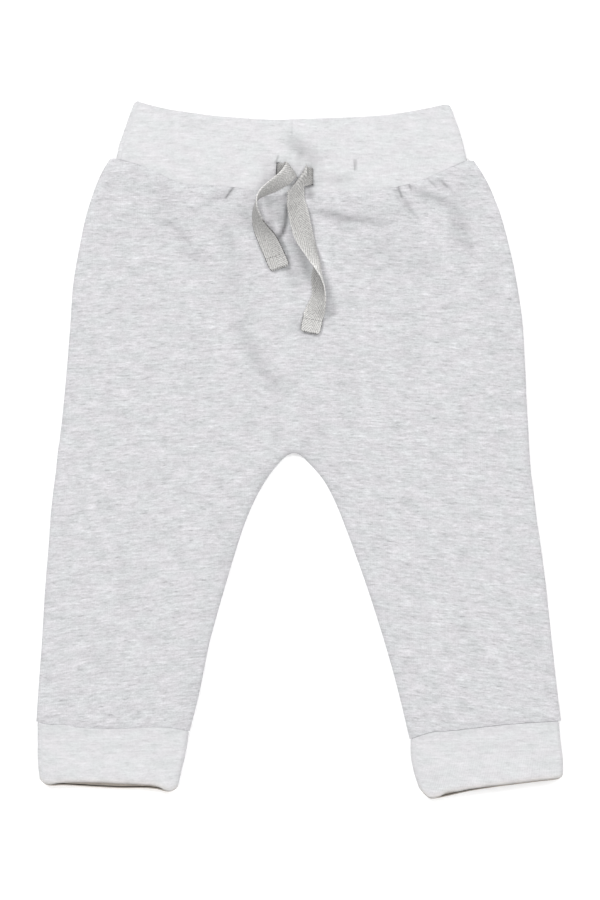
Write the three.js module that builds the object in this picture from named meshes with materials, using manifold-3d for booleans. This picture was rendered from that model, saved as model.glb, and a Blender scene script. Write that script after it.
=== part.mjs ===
// Jogger trousers for a small child, laid flat with the front uppermost.
// Millimetres, +Z up. X runs across the garment, +Y towards the waist, and the cloth rests on Z = 0.
// Left and right are the viewer's, looking down on the front.
import * as THREE from "three";
import * as BufferGeometryUtils from "three/addons/utils/BufferGeometryUtils.js";
import Module from "manifold-3d";

const wasm = await Module();
wasm.setup();

// Cloth, in millimetres
const FLEECE = 1.9; // one layer of brushed sweatshirt knit
const BAND_WALL = 2.8; // waistband jersey, folded double over its elastic
const CUFF_WALL = 2.6; // cuff jersey, folded double
const SEAM_GAP = 0.3; // between two pieces that are sewn together
const LAYER_GAP = 0.5; // between front and back where they are pressed together at a side seam
const BODY_LOFT = 1.0; // how much further apart they lie in the middle of the cloth
const LOFT_REACH = 26; // the loft is nearly whole this far from an edge
const EDGE_ROUND = 2.8; // how far in the rounding of a folded side reaches
const BAND_GAP = 0.8; // between the waistband's two walls
const BAND_SWELL = 0.5; // how much further its upper wall stands up in the middle
const CUFF_GAP = 0.8; // between a cuff's two walls at its seam
const CUFF_MOUTH = 2.4; // and at its hem, where it stands open
const TAPE_WIDTH = 12;
const TAPE_THICK = 0.9;
const TAPE_HEM = 8; // the end of the tape, folded back and stitched, is double over this length
const TAPE_HEM_THICK = 1.3; // pressed flat there, it is this thick
const TAPE_REST = 0.3; // between a tape and the cloth it lies on
const BUTTONHOLE = { wide: 1.8, tall: 12.6 };

// Cross lines of the body, from the waist seam down to the crotch: where each meets the left side seam, the
// centre line and the right side seam, as x, y.
const BODY_LINES = [
  { left: [-112.3, 172.2], centre: [-4.9, 151.9], right: [102.8, 171.2] },
  { left: [-116.9, 164.3], centre: [-4.8, 143.7], right: [108.1, 163.4] },
  { left: [-121.4, 153.7], centre: [-4.7, 133.0], right: [113.1, 153.4] },
  { left: [-126.4, 137.8], centre: [-4.6, 117.1], right: [119.0, 137.8] },
  { left: [-130.5, 118.3], centre: [-4.4, 97.6], right: [124.2, 118.3] },
  { left: [-133.9, 97.6], centre: [-4.2, 77.0], right: [128.4, 97.6] },
  { left: [-135.6, 74.0], centre: [-3.9, 53.4], right: [131.7, 74.0] },
  { left: [-137.3, 52.2], centre: [-3.6, 32.7], right: [133.0, 52.2] },
  { left: [-139.4, 28.6], centre: [-3.5, 13.9], right: [134.1, 28.6] },
  { left: [-141.7, 7.4], centre: [-3.4, -1.5], right: [135.3, 7.4] },
];
const CROTCH = BODY_LINES.length - 1;

// Cross lines of the legs, from just below the crotch to the cuffs: side seam and inseam of each leg.
const LEG_LINES = [
  { left: [-143.0, -0.9], leftIn: [-7.2, -2.7], rightIn: [0.4, -2.7], right: [135.8, -2.1] },
  { left: [-144.0, -11.5], leftIn: [-12.5, -7.7], rightIn: [6.0, -8.0], right: [136.6, -12.7] },
  { left: [-145.7, -24.5], leftIn: [-19.9, -17.4], rightIn: [14.0, -17.4], right: [138.1, -24.5] },
  { left: [-147.2, -38.6], leftIn: [-27.6, -31.3], rightIn: [21.4, -31.3], right: [139.8, -38.6] },
  { left: [-148.5, -57.5], leftIn: [-35.0, -50.4], rightIn: [28.9, -50.4], right: [142.5, -57.5] },
  { left: [-150.5, -82.3], leftIn: [-44.7, -82.3], rightIn: [40.3, -82.3], right: [145.7, -82.3] },
  { left: [-152.5, -114.8], leftIn: [-53.5, -114.2], rightIn: [50.6, -114.8], right: [149.1, -114.8] },
  { left: [-154.4, -141.3], leftIn: [-59.1, -141.9], rightIn: [58.3, -142.5], right: [152.2, -142.5] },
  { left: [-155.7, -160.2], leftIn: [-65.0, -165.2], rightIn: [64.9, -169.9], right: [154.3, -158.7] },
];
const LAST_LINE = CROTCH + LEG_LINES.length;

// Seam lines, as x, y from left to right.
const WAIST_SEAM = [
  [-112.3, 172.2], [-108.4, 172.2], [-101.9, 170.5], [-92.5, 167.6], [-83.0, 163.4], [-75.0, 159.5],
  [-65.0, 157.2], [-39.4, 155.2], [-23.5, 153.1], [-4.9, 151.9], [11.9, 151.9], [46.2, 153.6],
  [63.3, 156.8], [77.4, 161.7], [92.2, 168.4], [98.7, 170.9], [102.8, 171.2],
];
const CUFF_SEAMS = {
  left: [
    [-155.7, -160.2], [-147.4, -161.7], [-139.7, -161.7], [-129.4, -163.3], [-119.0, -163.9],
    [-101.8, -163.9], [-84.6, -163.1], [-74.3, -163.9], [-65.0, -165.7],
  ],
  right: [
    [64.9, -170.5], [70.8, -168.3], [79.1, -165.9], [86.7, -165.5], [100.4, -164.1], [116.3, -162.2],
    [134.8, -160.7], [154.3, -159.6],
  ],
};

// The waistband's top edge, then its sides at five heights from the seam up.
const BAND_TOP = [
  [-97.8, 205.3], [-96.0, 206.1], [-91.3, 204.7], [-79.5, 201.8], [-66.5, 199.7], [-48.8, 197.4],
  [-17.6, 195.3], [4.9, 195.8], [43.2, 197.4], [62.7, 199.7], [76.8, 202.3], [85.1, 204.0], [88.7, 204.0],
];
const BAND_SIDES = [
  { left: -108.4, right: 98.7 },
  { left: -106.6, right: 97.0 },
  { left: -103.7, right: 94.7 },
  { left: -100.9, right: 91.7 },
  { left: -97.8, right: 88.7 },
];

// Cuff sides at four heights from the seam down to the hem, and the hem lines of the upper and lower wall.
const CUFFS = {
  left: {
    sides: [
      { left: -154.9, right: -65.4 },
      { left: -154.8, right: -67.0 },
      { left: -154.7, right: -69.5 },
      { left: -153.6, right: -72.1 },
    ],
    upperHem: [
      [-153.6, -194.4], [-149.3, -197.0], [-139.7, -195.9], [-119.0, -195.7], [-105.3, -196.4],
      [-91.5, -197.1], [-84.6, -198.0], [-77.1, -201.2], [-72.1, -199.2],
    ],
    lowerHem: [
      [-153.6, -194.8], [-149.3, -197.8], [-139.7, -197.9], [-129.4, -198.4], [-119.0, -199.0],
      [-105.3, -199.6], [-91.5, -199.6], [-84.6, -200.2], [-77.1, -201.7], [-72.1, -199.6],
    ],
  },
  right: {
    sides: [
      { left: 65.5, right: 152.9 },
      { left: 65.6, right: 153.9 },
      { left: 67.4, right: 155.2 },
      { left: 70.6, right: 155.5 },
    ],
    upperHem: [
      [70.6, -199.6], [76.8, -205.0], [82.6, -204.0], [86.7, -201.9], [93.5, -201.0], [100.4, -199.6],
      [114.2, -197.7], [128.0, -196.1], [141.7, -194.5], [152.8, -193.4], [155.5, -192.0],
    ],
    lowerHem: [
      [70.6, -200.0], [76.8, -205.5], [82.6, -205.2], [86.7, -204.4], [93.5, -202.8], [100.4, -201.3],
      [114.2, -199.1], [128.0, -197.3], [141.7, -195.6], [152.8, -194.2], [155.5, -192.4],
    ],
  },
};

// Folds of the front: a path on the cloth, how deep its trough is and how far it spreads to each side.
const FOLDS = [
  {
    name: "left hip",
    path: [[-89.5, 140.7], [-82.5, 131.9], [-69.5, 125.4], [-58.9, 110.6]],
    depth: 1.0,
    spread: 4.5,
  },
  { name: "left shoulder", path: [[-79.5, 160.8], [-83.6, 150.2], [-77.7, 138.4]], depth: 0.7, spread: 5 },
  { name: "left notch", path: [[-39.4, 154.9], [-45.9, 149.0], [-55.9, 143.7]], depth: 1.1, spread: 3 },
  { name: "upper crease", path: [[-47.1, 125.4], [-39.4, 111.2], [-36.4, 91.2]], depth: 1.0, spread: 5.5 },
  {
    name: "long crease",
    path: [[-36.4, 91.2], [-35.3, 74.0], [-28.2, 59.3], [-20.5, 42.8], [-8.7, 29.8]],
    depth: 1.0,
    spread: 5.5,
  },
  { name: "beside the tape", path: [[7.2, 143.7], [25.5, 137.8], [50.3, 133.0]], depth: 1.4, spread: 3.6 },
  { name: "its branch", path: [[16.7, 135.4], [24.9, 130.1], [32.6, 130.1]], depth: 0.8, spread: 3.5 },
  { name: "pleat 1", path: [[56.2, 155.5], [59.1, 149.0], [63.9, 140.1]], depth: 1.2, spread: 2.6 },
  { name: "pleat 2", path: [[63.9, 156.1], [70.9, 151.9], [85.1, 143.7]], depth: 1.3, spread: 2.8 },
  { name: "pleat 3", path: [[73.3, 160.2], [78.0, 153.7]], depth: 1.0, spread: 2.4 },
  { name: "pleat 4", path: [[81.0, 159.6], [88.1, 151.9]], depth: 1.1, spread: 2.6 },
  {
    name: "right hip",
    path: [[87.5, 149.6], [91.6, 138.9], [95.1, 128.9], [101.0, 113.6]],
    depth: 1.2,
    spread: 4.8,
  },
  {
    name: "right arc",
    path: [[39.1, 106.5], [50.3, 113.6], [60.3, 114.8], [80.4, 100.0]],
    depth: 0.6,
    spread: 7,
  },
  { name: "pucker under the left tape", path: [[-30, 152], [-32, 141]], depth: 0.6, spread: 3 },
  { name: "pucker under the right tape", path: [[8, 152], [8, 144]], depth: 0.6, spread: 3 },
];
const SHOULDER_PUFF = { height: 1.5, below: 8, spread: 8 }; // fullness gathered under the waist seam

// The tape's two free ends: its middle line x, y, z from inside the buttonhole to the end; across, the
// direction of its width, which turns as the tape folds over and twists; and curl, the degrees that its width
// is rolled up by.
const TAPES = {
  left: [
    { at: [-13, 163.4, 4.2], across: [0, 1, 0] },
    { at: [-13, 163.4, 6.4], across: [0, 1, 0] },
    { at: [-12.5, 163.4, 7.8], across: [0, 1, 0] },
    { at: [-10.8, 163.4, 8.3], across: [-0.08, 1, 0] },
    { at: [-8, 163.4, 9.4], across: [-0.26, 0.95, 0.06] },
    { at: [-5, 164.9, 12.3], across: [-0.41, 0.62, 0.67], curl: 10 },
    { at: [-4.8, 164.3, 15], across: [-0.46, 0.59, 0.66], curl: 15 },
    { at: [-8.1, 160.3, 15.8], across: [-0.42, 0.53, 0.74], curl: 10 },
    { at: [-12.4, 157.2, 15.4], across: [-0.42, 0.44, 0.79] },
    { at: [-17, 154.3, 14.7], across: [-0.35, 0.36, 0.86] },
    { at: [-21.3, 151.7, 13.8], across: [-0.23, 0.24, 0.94] },
    { at: [-24.5, 148.7, 13], across: [-0.06, 0.09, 0.99] },
    { at: [-25.9, 144.7, 12.4], across: [0.11, 0.02, 0.99] },
    { at: [-26, 140.2, 11.6], across: [0.29, 0.03, 0.96] },
    { at: [-24.8, 135.1, 10.4], across: [0.49, 0.08, 0.87] },
    { at: [-22.5, 130, 9], across: [0.7, 0.18, 0.69] },
    { at: [-19.6, 125.3, 7.6], across: [0.88, 0.25, 0.42] },
    { at: [-17, 120, 6.6], across: [0.94, 0.28, 0.18] },
    { at: [-14.7, 114.7, 6.2], across: [0.95, 0.31, 0] },
    { at: [-11.5, 107.2, 6.1], across: [0.94, 0.33, 0] },
  ],
  right: [
    { at: [7.4, 162.9, 4.2], across: [0, 1, 0] },
    { at: [7.4, 162.9, 6.4], across: [0, 1, 0] },
    { at: [6.9, 162.8, 7.7], across: [0, 1, 0] },
    { at: [5, 162.2, 7.8], across: [0.06, 1, 0] },
    { at: [3.2, 161.8, 8], across: [0.16, 0.98, 0] },
    { at: [1.3, 161, 8.6], across: [0.34, 0.93, 0] },
    { at: [-0.4, 159.8, 9.8], across: [0.54, 0.84, -0.05] },
    { at: [-1.1, 158, 11.2], across: [0.68, 0.68, -0.26] },
    { at: [-2.2, 153.8, 11.4], across: [0.74, 0.4, -0.54] },
    { at: [-2.2, 146.5, 10.4], across: [0.86, 0.24, -0.46] },
    { at: [-0.6, 138.8, 9.6], across: [0.97, 0.23, -0.03] },
    { at: [1.1, 131.2, 9.5], across: [0.96, 0.24, -0.11], curl: -10 },
    { at: [3.2, 124.8, 10.3], across: [0.88, 0.25, -0.4], curl: -30 },
    { at: [6.6, 119.2, 12], across: [0.73, 0.25, -0.64], curl: -75 },
    { at: [9.8, 114.2, 12.8], across: [0.5, 0.3, -0.81], curl: -115 },
    { at: [11.9, 109.6, 12], across: [0.14, 0.26, -0.96], curl: -142 },
    { at: [12.2, 105.7, 10.1], across: [-0.35, 0.23, -0.91], curl: -150 },
    { at: [12.2, 101.5, 8.7], across: [-0.63, 0.1, -0.77], curl: -135 },
    { at: [12.6, 96.2, 8.2], across: [-0.68, 0.01, -0.74], curl: -100 },
    { at: [12.1, 90.5, 7.7], across: [-0.71, 0.03, -0.71], curl: -60 },
    { at: [10, 85, 7.3], across: [-0.86, 0.1, -0.5], curl: -20 },
    { at: [7.9, 78.4, 6.6], across: [-0.98, 0.18, 0] },
    { at: [6, 69.3, 6.1], across: [-0.98, 0.2, 0] },
  ],
};

const bodyColour = new THREE.MeshStandardMaterial({ color: 0xdcdcdf, roughness: 0.95, metalness: 0 });
const trimColour = new THREE.MeshStandardMaterial({ color: 0xe5e5e7, roughness: 0.95, metalness: 0 });
const tapeColour = new THREE.MeshStandardMaterial({ color: 0xc7c5c2, roughness: 0.85, metalness: 0 });

// Curves and small sums

const mix = (a, b, f) => a + (b - a) * f;
const clamp = (v, low, high) => Math.min(Math.max(v, low), high);
const smooth = (v) => v * v * (3 - 2 * v);

// A value on the smooth curve through evenly counted values, at place t; past its ends it goes on straight.
function through(values, t) {
  const last = values.length - 1;
  const i = clamp(Math.floor(t), 0, last - 1);
  const f = t - i;
  const [b, c] = [values[i], values[i + 1]];
  const a = i > 0 ? values[i - 1] : 2 * b - c;
  const d = i < last - 1 ? values[i + 2] : 2 * c - b;
  return b + 0.5 * f * (c - a + f * (2 * a - 5 * b + 4 * c - d + f * (3 * (b - c) + d - a)));
}

// The height of a line given as x, y points at x: a cubic through them whose slope is the neighbours' slope.
function heightAt(points, x) {
  const last = points.length - 1;
  const at = clamp(x, points[0][0], points[last][0]);
  const next = clamp(points.findIndex((p) => p[0] >= at), 1, last);
  const slope = (k) => {
    const [p, q] = [points[Math.max(k - 1, 0)], points[Math.min(k + 1, last)]];
    return (q[1] - p[1]) / (q[0] - p[0]);
  };
  const [p, q] = [points[next - 1], points[next]];
  const wide = q[0] - p[0];
  const f = (at - p[0]) / wide;
  const [s, e] = [slope(next - 1) * wide, slope(next) * wide];
  return p[1] + f * (s + f * (3 * (q[1] - p[1]) - 2 * s - e + f * (s + e - 2 * (q[1] - p[1]))));
}

// The nearest point of a polyline to x, y: its distance, and the unit way square to the line there, to the
// left of the line's own direction.
function nearest(polyline, x, y) {
  let best = { far: Infinity, nx: 0, ny: 1 };
  for (let i = 0; i + 1 < polyline.length; i += 1) {
    const [[ax, ay], [bx, by]] = [polyline[i], polyline[i + 1]];
    const [dx, dy] = [bx - ax, by - ay];
    const f = clamp(((x - ax) * dx + (y - ay) * dy) / (dx * dx + dy * dy), 0, 1);
    const far = Math.hypot(x - ax - f * dx, y - ay - f * dy);
    if (far < best.far) {
      const long = Math.hypot(dx, dy);
      best = { far, nx: -dy / long, ny: dx / long };
    }
  }
  return best;
}

// The laid outline

const column = (name, axis) => [...BODY_LINES, ...LEG_LINES].map((line) => line[name][axis]);
const SIDES = {
  left: [column("left", 0), column("left", 1)],
  right: [column("right", 0), column("right", 1)],
};
const CENTRE = [0, 1].map((axis) => BODY_LINES.map((line) => line.centre[axis]));
// The inseam is one line: up the left leg, over the crotch and down the right leg.
const INSEAM = [0, 1].map((axis) => [
  ...LEG_LINES.map((line) => line.leftIn[axis]).reverse(),
  BODY_LINES[CROTCH].centre[axis],
  ...LEG_LINES.map((line) => line.rightIn[axis]),
]);

const sidePoint = (half, t) => SIDES[half].map((values) => through(values, t));
function innerPoint(half, t) {
  if (t <= CROTCH) return CENTRE.map((values) => through(values, t));
  const along = LEG_LINES.length + (half === "left" ? CROTCH - t : t - CROTCH);
  return INSEAM.map((values) => through(values, along));
}

// Where a seam line bends away from the straight cross line, the lines near it bend too.
const WAIST_FADE = 5;
const CUFF_FADE = 3;
function seamBend(half, t, u) {
  const top = t < WAIST_FADE;
  const low = t > LAST_LINE - CUFF_FADE;
  if (!top && !low) return 0;
  const end = top ? 0 : LAST_LINE;
  const [side, inner] = [sidePoint(half, end), innerPoint(half, end)];
  const seam = top ? WAIST_SEAM : CUFF_SEAMS[half];
  const share = top ? 1 - t / WAIST_FADE : 1 - (LAST_LINE - t) / CUFF_FADE;
  const bend = heightAt(seam, mix(side[0], inner[0], u)) - mix(side[1], inner[1], u);
  return bend * share * share;
}

// A point of one half of the laid body: t counts cross lines from the waist seam down, and u goes from the
// side seam, 0, to the centre line or inseam, 1.
function onBody(half, t, u) {
  const [side, inner] = [sidePoint(half, t), innerPoint(half, t)];
  const y = mix(side[1], inner[1], u) + seamBend(half, t, u);
  const towardsSeam = t <= 0 ? -SEAM_GAP / 2 : t >= LAST_LINE ? SEAM_GAP / 2 : 0;
  return [mix(side[0], inner[0], u), y + towardsSeam];
}

const fine = (from, to, count) => Array.from({ length: count + 1 }, (_, i) => mix(from, to, i / count));

// The folded edges of the laid body, each running so that the cloth lies to its left.
const SIDE_CHORDS = 90;
const INSEAM_CHORDS = 60;
const OUTLINES = [
  fine(0, LAST_LINE, SIDE_CHORDS).map((t) => sidePoint("left", t)),
  fine(LAST_LINE, 0, SIDE_CHORDS).map((t) => sidePoint("right", t)),
  fine(LAST_LINE, CROTCH, INSEAM_CHORDS).map((t) => innerPoint("left", t))
    .concat(fine(CROTCH, LAST_LINE, INSEAM_CHORDS).map((t) => innerPoint("right", t))),
];

// The nearest folded edge: how far it is, and the way from it into the cloth.
function edgeNear(x, y) {
  const found = OUTLINES.map((outline) => nearest(outline, x, y));
  return found.reduce((a, b) => (b.far < a.far ? b : a));
}

// Heights of the laid cloth

const SEAM_HEIGHT = FLEECE + LAYER_GAP / 2;
const LOWEST_GAP = 0.35; // back and front come no closer under a fold
const SKIN_TURN = 3 * FLEECE; // nearer an edge than this the inner skin is drawn in towards the cloth
const FULLNESS = { height: 0.9, from: 8 }; // what the front stands up beside its folds, whole this far in

// From 0 at an edge to 1 where a folded side is fully rounded, as a quarter circle.
const rounding = (far) => (far >= EDGE_ROUND ? 1 : Math.sqrt(1 - (1 - far / EDGE_ROUND) ** 2));

// How far the folds press the front down at a place.
function foldDepth(x, y) {
  return FOLDS.reduce((sum, { path, depth, spread }) => {
    const way = nearest(path, x, y);
    return sum + depth * Math.exp(-((way.far / spread) ** 2));
  }, 0);
}

// The gap between back and front at a place: the loft of the cloth, the fullness under the waist seam, and
// the folds.
function layerGap(x, y, far) {
  const below = heightAt(WAIST_SEAM, x) - y;
  const loft = BODY_LOFT * (1 - Math.exp(-far / LOFT_REACH));
  const { height, below: lowest, spread } = SHOULDER_PUFF;
  const puff = height * Math.exp(-(((below - lowest) / spread) ** 2));
  const inside = smooth(clamp(far / FULLNESS.from, 0, 1));
  const open = LAYER_GAP + loft + inside * (puff + FULLNESS.height - foldDepth(x, y));
  return Math.max(LOWEST_GAP, open);
}

// One closed solid from an outer and an inner grid of points that share the same faces: both skins, and a
// strip along each open edge.
function wallSolid(outer, inner, faces) {
  const edges = new Map();
  faces.forEach((face) => face.forEach((a, k) => {
    const b = face[(k + 1) % face.length];
    const back = b + "," + a;
    if (edges.has(back)) edges.delete(back);
    else edges.set(a + "," + b, [a, b]);
  }));
  const count = outer.length;
  const triangles = [];
  const quad = (a, b, c, d) => triangles.push(a, b, c, a, c, d);
  faces.forEach(([a, b, c, d]) => quad(a, b, c, d));
  faces.forEach(([a, b, c, d]) => quad(count + a, count + d, count + c, count + b));
  edges.forEach(([a, b]) => quad(a, count + a, count + b, b));
  const geometry = new THREE.BufferGeometry();
  geometry.setAttribute("position", new THREE.Float32BufferAttribute([...outer, ...inner].flat(), 3));
  geometry.setIndex(triangles);
  return facingOut(geometry);
}

// Turns every face round if the solid is inside out.
function facingOut(geometry) {
  const at = geometry.getAttribute("position");
  const index = geometry.getIndex();
  const [a, b, c] = [new THREE.Vector3(), new THREE.Vector3(), new THREE.Vector3()];
  let volume = 0;
  for (let i = 0; i < index.count; i += 3) {
    a.fromBufferAttribute(at, index.getX(i));
    b.fromBufferAttribute(at, index.getX(i + 1));
    c.fromBufferAttribute(at, index.getX(i + 2));
    volume += a.dot(b.cross(c));
  }
  if (volume < 0) {
    for (let i = 0; i < index.count; i += 3) {
      const second = index.getX(i + 1);
      index.setX(i + 1, index.getX(i + 2));
      index.setX(i + 2, second);
    }
  }
  return geometry;
}

// Body panels

// Places across one half: close together where a side rounds over, then the given shares of its width.
const ROUNDED = [0, 0.35, 1.2, EDGE_ROUND];
function placesAcross(width, shares) {
  const near = ROUNDED.map((d) => d / width);
  return [...near, ...shares, ...near.map((u) => 1 - u).reverse()];
}

// A panel of both legs. heights gives the outer and inner height at a place, from its distance to an edge.
function panel(lines, shares, heights) {
  const ids = new Map();
  const [outer, inner] = [[], []];
  const idAt = (half, row, col, lastCol) => {
    const shared = lines[row] <= CROTCH && col === lastCol;
    const key = (shared ? "centre" : half + col) + ":" + row;
    if (ids.has(key)) return ids.get(key);
    const t = lines[row];
    const width = Math.abs(sidePoint(half, t)[0] - innerPoint(half, t)[0]);
    const u = placesAcross(width, shares[half])[col];
    const [x, y] = onBody(half, t, u);
    const edge = edgeNear(x, y);
    const inset = FLEECE * clamp(1 - edge.far / SKIN_TURN, 0, 1);
    const [ix, iy] = [x + edge.nx * inset, y + edge.ny * inset];
    const { high, low } = heights(x, y, edge.far);
    outer.push([x, y, high]);
    inner.push([ix, iy, low]);
    ids.set(key, outer.length - 1);
    return outer.length - 1;
  };
  const faces = [];
  for (const half of ["left", "right"]) {
    const lastCol = shares[half].length + 2 * ROUNDED.length - 1;
    for (let row = 0; row + 1 < lines.length; row += 1) {
      for (let col = 0; col < lastCol; col += 1) {
        const a = idAt(half, row, col, lastCol);
        const b = idAt(half, row + 1, col, lastCol);
        const c = idAt(half, row + 1, col + 1, lastCol);
        const d = idAt(half, row, col + 1, lastCol);
        faces.push(half === "left" ? [a, b, c, d] : [a, d, c, b]);
      }
    }
  }
  return wallSolid(outer, inner, faces);
}

// Cross lines at which a panel has points: the listed ones, then three just above the crotch, where the top
// of the leg gap rounds over.
function linesOf(body, legs) {
  const perLine = innerPoint("left", CROTCH - 1)[1] - innerPoint("left", CROTCH)[1];
  const rounded = ROUNDED.slice(1).map((d) => CROTCH - d / perLine).reverse();
  return [...body, ...rounded, CROTCH, ...legs.map((t) => CROTCH + t)];
}

const FRONT_LINES = linesOf(
  [0, 0.3, 0.65, 1.05, 1.4, 1.8, 2.2, 2.6, 3, 3.5, 4, 4.5, 5, 5.6, 6.3, 7, 7.7, 8.4],
  [0.5, 1, 1.5, 2, 2.6, 3.2, 3.9, 4.6, 5.2, 5.8, 6.6, 7.4, 8.2, 9],
);
const FRONT_SHARES = {
  left: [0.1, 0.2, 0.3, 0.4, 0.5, 0.59, 0.645, 0.68, 0.715, 0.79, 0.88],
  right: [0.08, 0.14, 0.19, 0.23, 0.265, 0.29, 0.32, 0.35, 0.38, 0.41, 0.44, 0.54, 0.66, 0.78, 0.89],
};
const BACK_LINES = linesOf([0, 0.6, 1.3, 2.2, 3.2, 4.3, 5.5, 6.7, 8], [0.5, 1, 1.5, 2, 3, 4, 5, 6, 7, 8, 9]);
const BACK_SHARES = {
  left: [0.08, 0.16, 0.24, 0.32, 0.4, 0.56, 0.74, 0.88],
  right: [0.08, 0.16, 0.26, 0.36, 0.46, 0.6, 0.74, 0.88],
};

function frontHeights(x, y, far) {
  const low = FLEECE + layerGap(x, y, far);
  const rim = SEAM_HEIGHT + SEAM_GAP / 2;
  const lifted = rounding(far);
  return { high: mix(rim, low + FLEECE, lifted), low: Math.max(mix(rim, low, lifted), rim) };
}

function backHeights(x, y, far) {
  const rim = SEAM_HEIGHT - SEAM_GAP / 2;
  return { high: mix(rim, 0, rounding(far)), low: mix(rim, FLEECE, clamp(far / EDGE_ROUND, 0, 1)) };
}

// Bands and cuffs: rings of doubled jersey, pressed flat

// The places round a ring: over its upper wall, round the right fold, back along its lower wall and round the
// left fold. f is the share of the way across, and side and up are the way out of the tube.
const FOLD_STEPS = 6; // flats round each folded side
function placesRound(upper, lower) {
  const arc = fine(0, Math.PI, FOLD_STEPS).slice(1, -1);
  return [
    ...upper.map((f) => ({ f, side: 0, up: 1 })),
    ...arc.map((a) => ({ f: 1, side: Math.sin(a), up: Math.cos(a) })),
    ...lower.toReversed().map((f) => ({ f, side: 0, up: -1 })),
    ...arc.map((a) => ({ f: 0, side: -Math.sin(a), up: -Math.cos(a) })),
  ];
}

// Where a panel's points lie along its seam, as x from left to right, none closer together than a step. A
// band sewn to it has its own points at the same places, so the two edges run side by side.
const STATION_STEP = 2.4;
function stations(shares, halves, t) {
  const all = halves.flatMap((half) => {
    const width = Math.abs(sidePoint(half, t)[0] - innerPoint(half, t)[0]);
    return placesAcross(width, shares[half]).map((u) => onBody(half, t, u)[0]);
  });
  all.sort((a, b) => a - b);
  return all.filter((x, i) => i === 0 || x - all[i - 1] >= STATION_STEP);
}

// The same places as shares of the way across a ring, between its two folded sides.
const SIDE_MARGIN = 0.01; // none closer to a side than this share
function sharesBetween(places, left, right) {
  const shares = places.map((x) => (x - left) / (right - left));
  return [0, ...shares.filter((f) => f > SIDE_MARGIN && f < 1 - SIDE_MARGIN), 1];
}

// The sewn edge of a ring is pressed a little thinner, by this share of the wall on each skin.
const SEWN_NARROW = 0.12;

// A hem or a folded top narrows in three steps: how far the skins move towards the middle of the wall, and
// how far they stop short of the edge, as shares of the wall.
const FOLDED_RIM = [
  { narrow: 0, short: 0.5 },
  { narrow: 0.15, short: 0.2 },
  { narrow: 0.34, short: 0 },
];

// A flattened ring of doubled cloth. rows gives the heights v, from 0 at its seam to 1 at its folded edge,
// and shape(v, f, up) the x of its two sides, y as a function of x, and how far its upper wall is lifted.
function ring({ rows, places, wall, gap, rimWay, shape }) {
  const half = wall + gap / 2;
  const [outer, inner] = [[], []];
  rows.forEach(({ v, narrow = 0, short = 0 }) => {
    places.forEach(({ f, side, up }) => {
      const { left, right, yAt, lift } = shape(v, f, up);
      const middle = mix(left + half, right - half, f);
      const point = (reach) => {
        const x = middle + side * reach;
        return [x, yAt(x) - short * wall * rimWay, half + up * reach + Math.max(up, 0) * lift];
      };
      outer.push(point(half - narrow * wall));
      inner.push(point(half - wall + narrow * wall));
    });
  });
  const faces = [];
  const count = places.length;
  for (let row = 0; row + 1 < rows.length; row += 1) {
    for (let k = 0; k < count; k += 1) {
      const next = (k + 1) % count;
      faces.push([row * count + k, row * count + next, (row + 1) * count + next, (row + 1) * count + k]);
    }
  }
  return wallSolid(outer, inner, faces);
}

function waistbandRing() {
  const [lefts, rights] = ["left", "right"].map((name) => BAND_SIDES.map((side) => side[name]));
  const half = BAND_WALL + BAND_GAP / 2;
  const shape = (v, f) => {
    const [left, right] = [lefts, rights].map((values) => through(values, v * (BAND_SIDES.length - 1)));
    const yAt = (x) => {
      const share = clamp((x - left) / (right - left), 0, 1);
      const seam = heightAt(WAIST_SEAM, mix(lefts[0], rights[0], share)) + SEAM_GAP / 2;
      return mix(seam, heightAt(BAND_TOP, mix(lefts.at(-1), rights.at(-1), share)), v);
    };
    return { left, right, yAt, lift: BAND_SWELL * Math.sin(Math.PI * f) * Math.sin(Math.PI * v) };
  };
  const across = (shares) => {
    const places = stations(shares, ["left", "right"], 0);
    return sharesBetween(places, lefts[0] + half, rights[0] - half);
  };
  const rows = [
    { v: 0, narrow: SEWN_NARROW },
    { v: 0.04 },
    ...[0.18, 0.4, 0.62, 0.84].map((v) => ({ v })),
    ...FOLDED_RIM.map((rim) => ({ v: 1, ...rim })),
  ];
  const places = placesRound(across(FRONT_SHARES), across(BACK_SHARES));
  return ring({ rows, places, wall: BAND_WALL, gap: BAND_GAP, rimWay: 1, shape });
}

function cuffRing(name) {
  const { sides, upperHem, lowerHem } = CUFFS[name];
  const [lefts, rights] = ["left", "right"].map((side) => sides.map((row) => row[side]));
  const half = CUFF_WALL + CUFF_GAP / 2;
  const shape = (v, f, up) => {
    const [left, right] = [lefts, rights].map((values) => through(values, v * (sides.length - 1)));
    const yAt = (x) => {
      const share = clamp((x - left) / (right - left), 0, 1);
      const seam = heightAt(CUFF_SEAMS[name], mix(lefts[0], rights[0], share)) - SEAM_GAP / 2;
      const at = mix(lefts.at(-1), rights.at(-1), share);
      const hem = mix(heightAt(lowerHem, at), heightAt(upperHem, at), (up + 1) / 2);
      return mix(seam, hem, v);
    };
    return { left, right, yAt, lift: (CUFF_MOUTH - CUFF_GAP) * v * v * Math.sin(Math.PI * f) };
  };
  const across = (shares) => {
    const places = stations(shares, [name], LAST_LINE);
    return sharesBetween(places, lefts[0] + half, rights[0] - half);
  };
  const rows = [
    { v: 0, narrow: SEWN_NARROW },
    { v: 0.05 },
    ...[0.3, 0.6, 0.85].map((v) => ({ v })),
    ...FOLDED_RIM.map((rim) => ({ v: 1, ...rim })),
  ];
  const places = placesRound(across(FRONT_SHARES), across(BACK_SHARES));
  return ring({ rows, places, wall: CUFF_WALL, gap: CUFF_GAP, rimWay: -1, shape });
}

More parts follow.
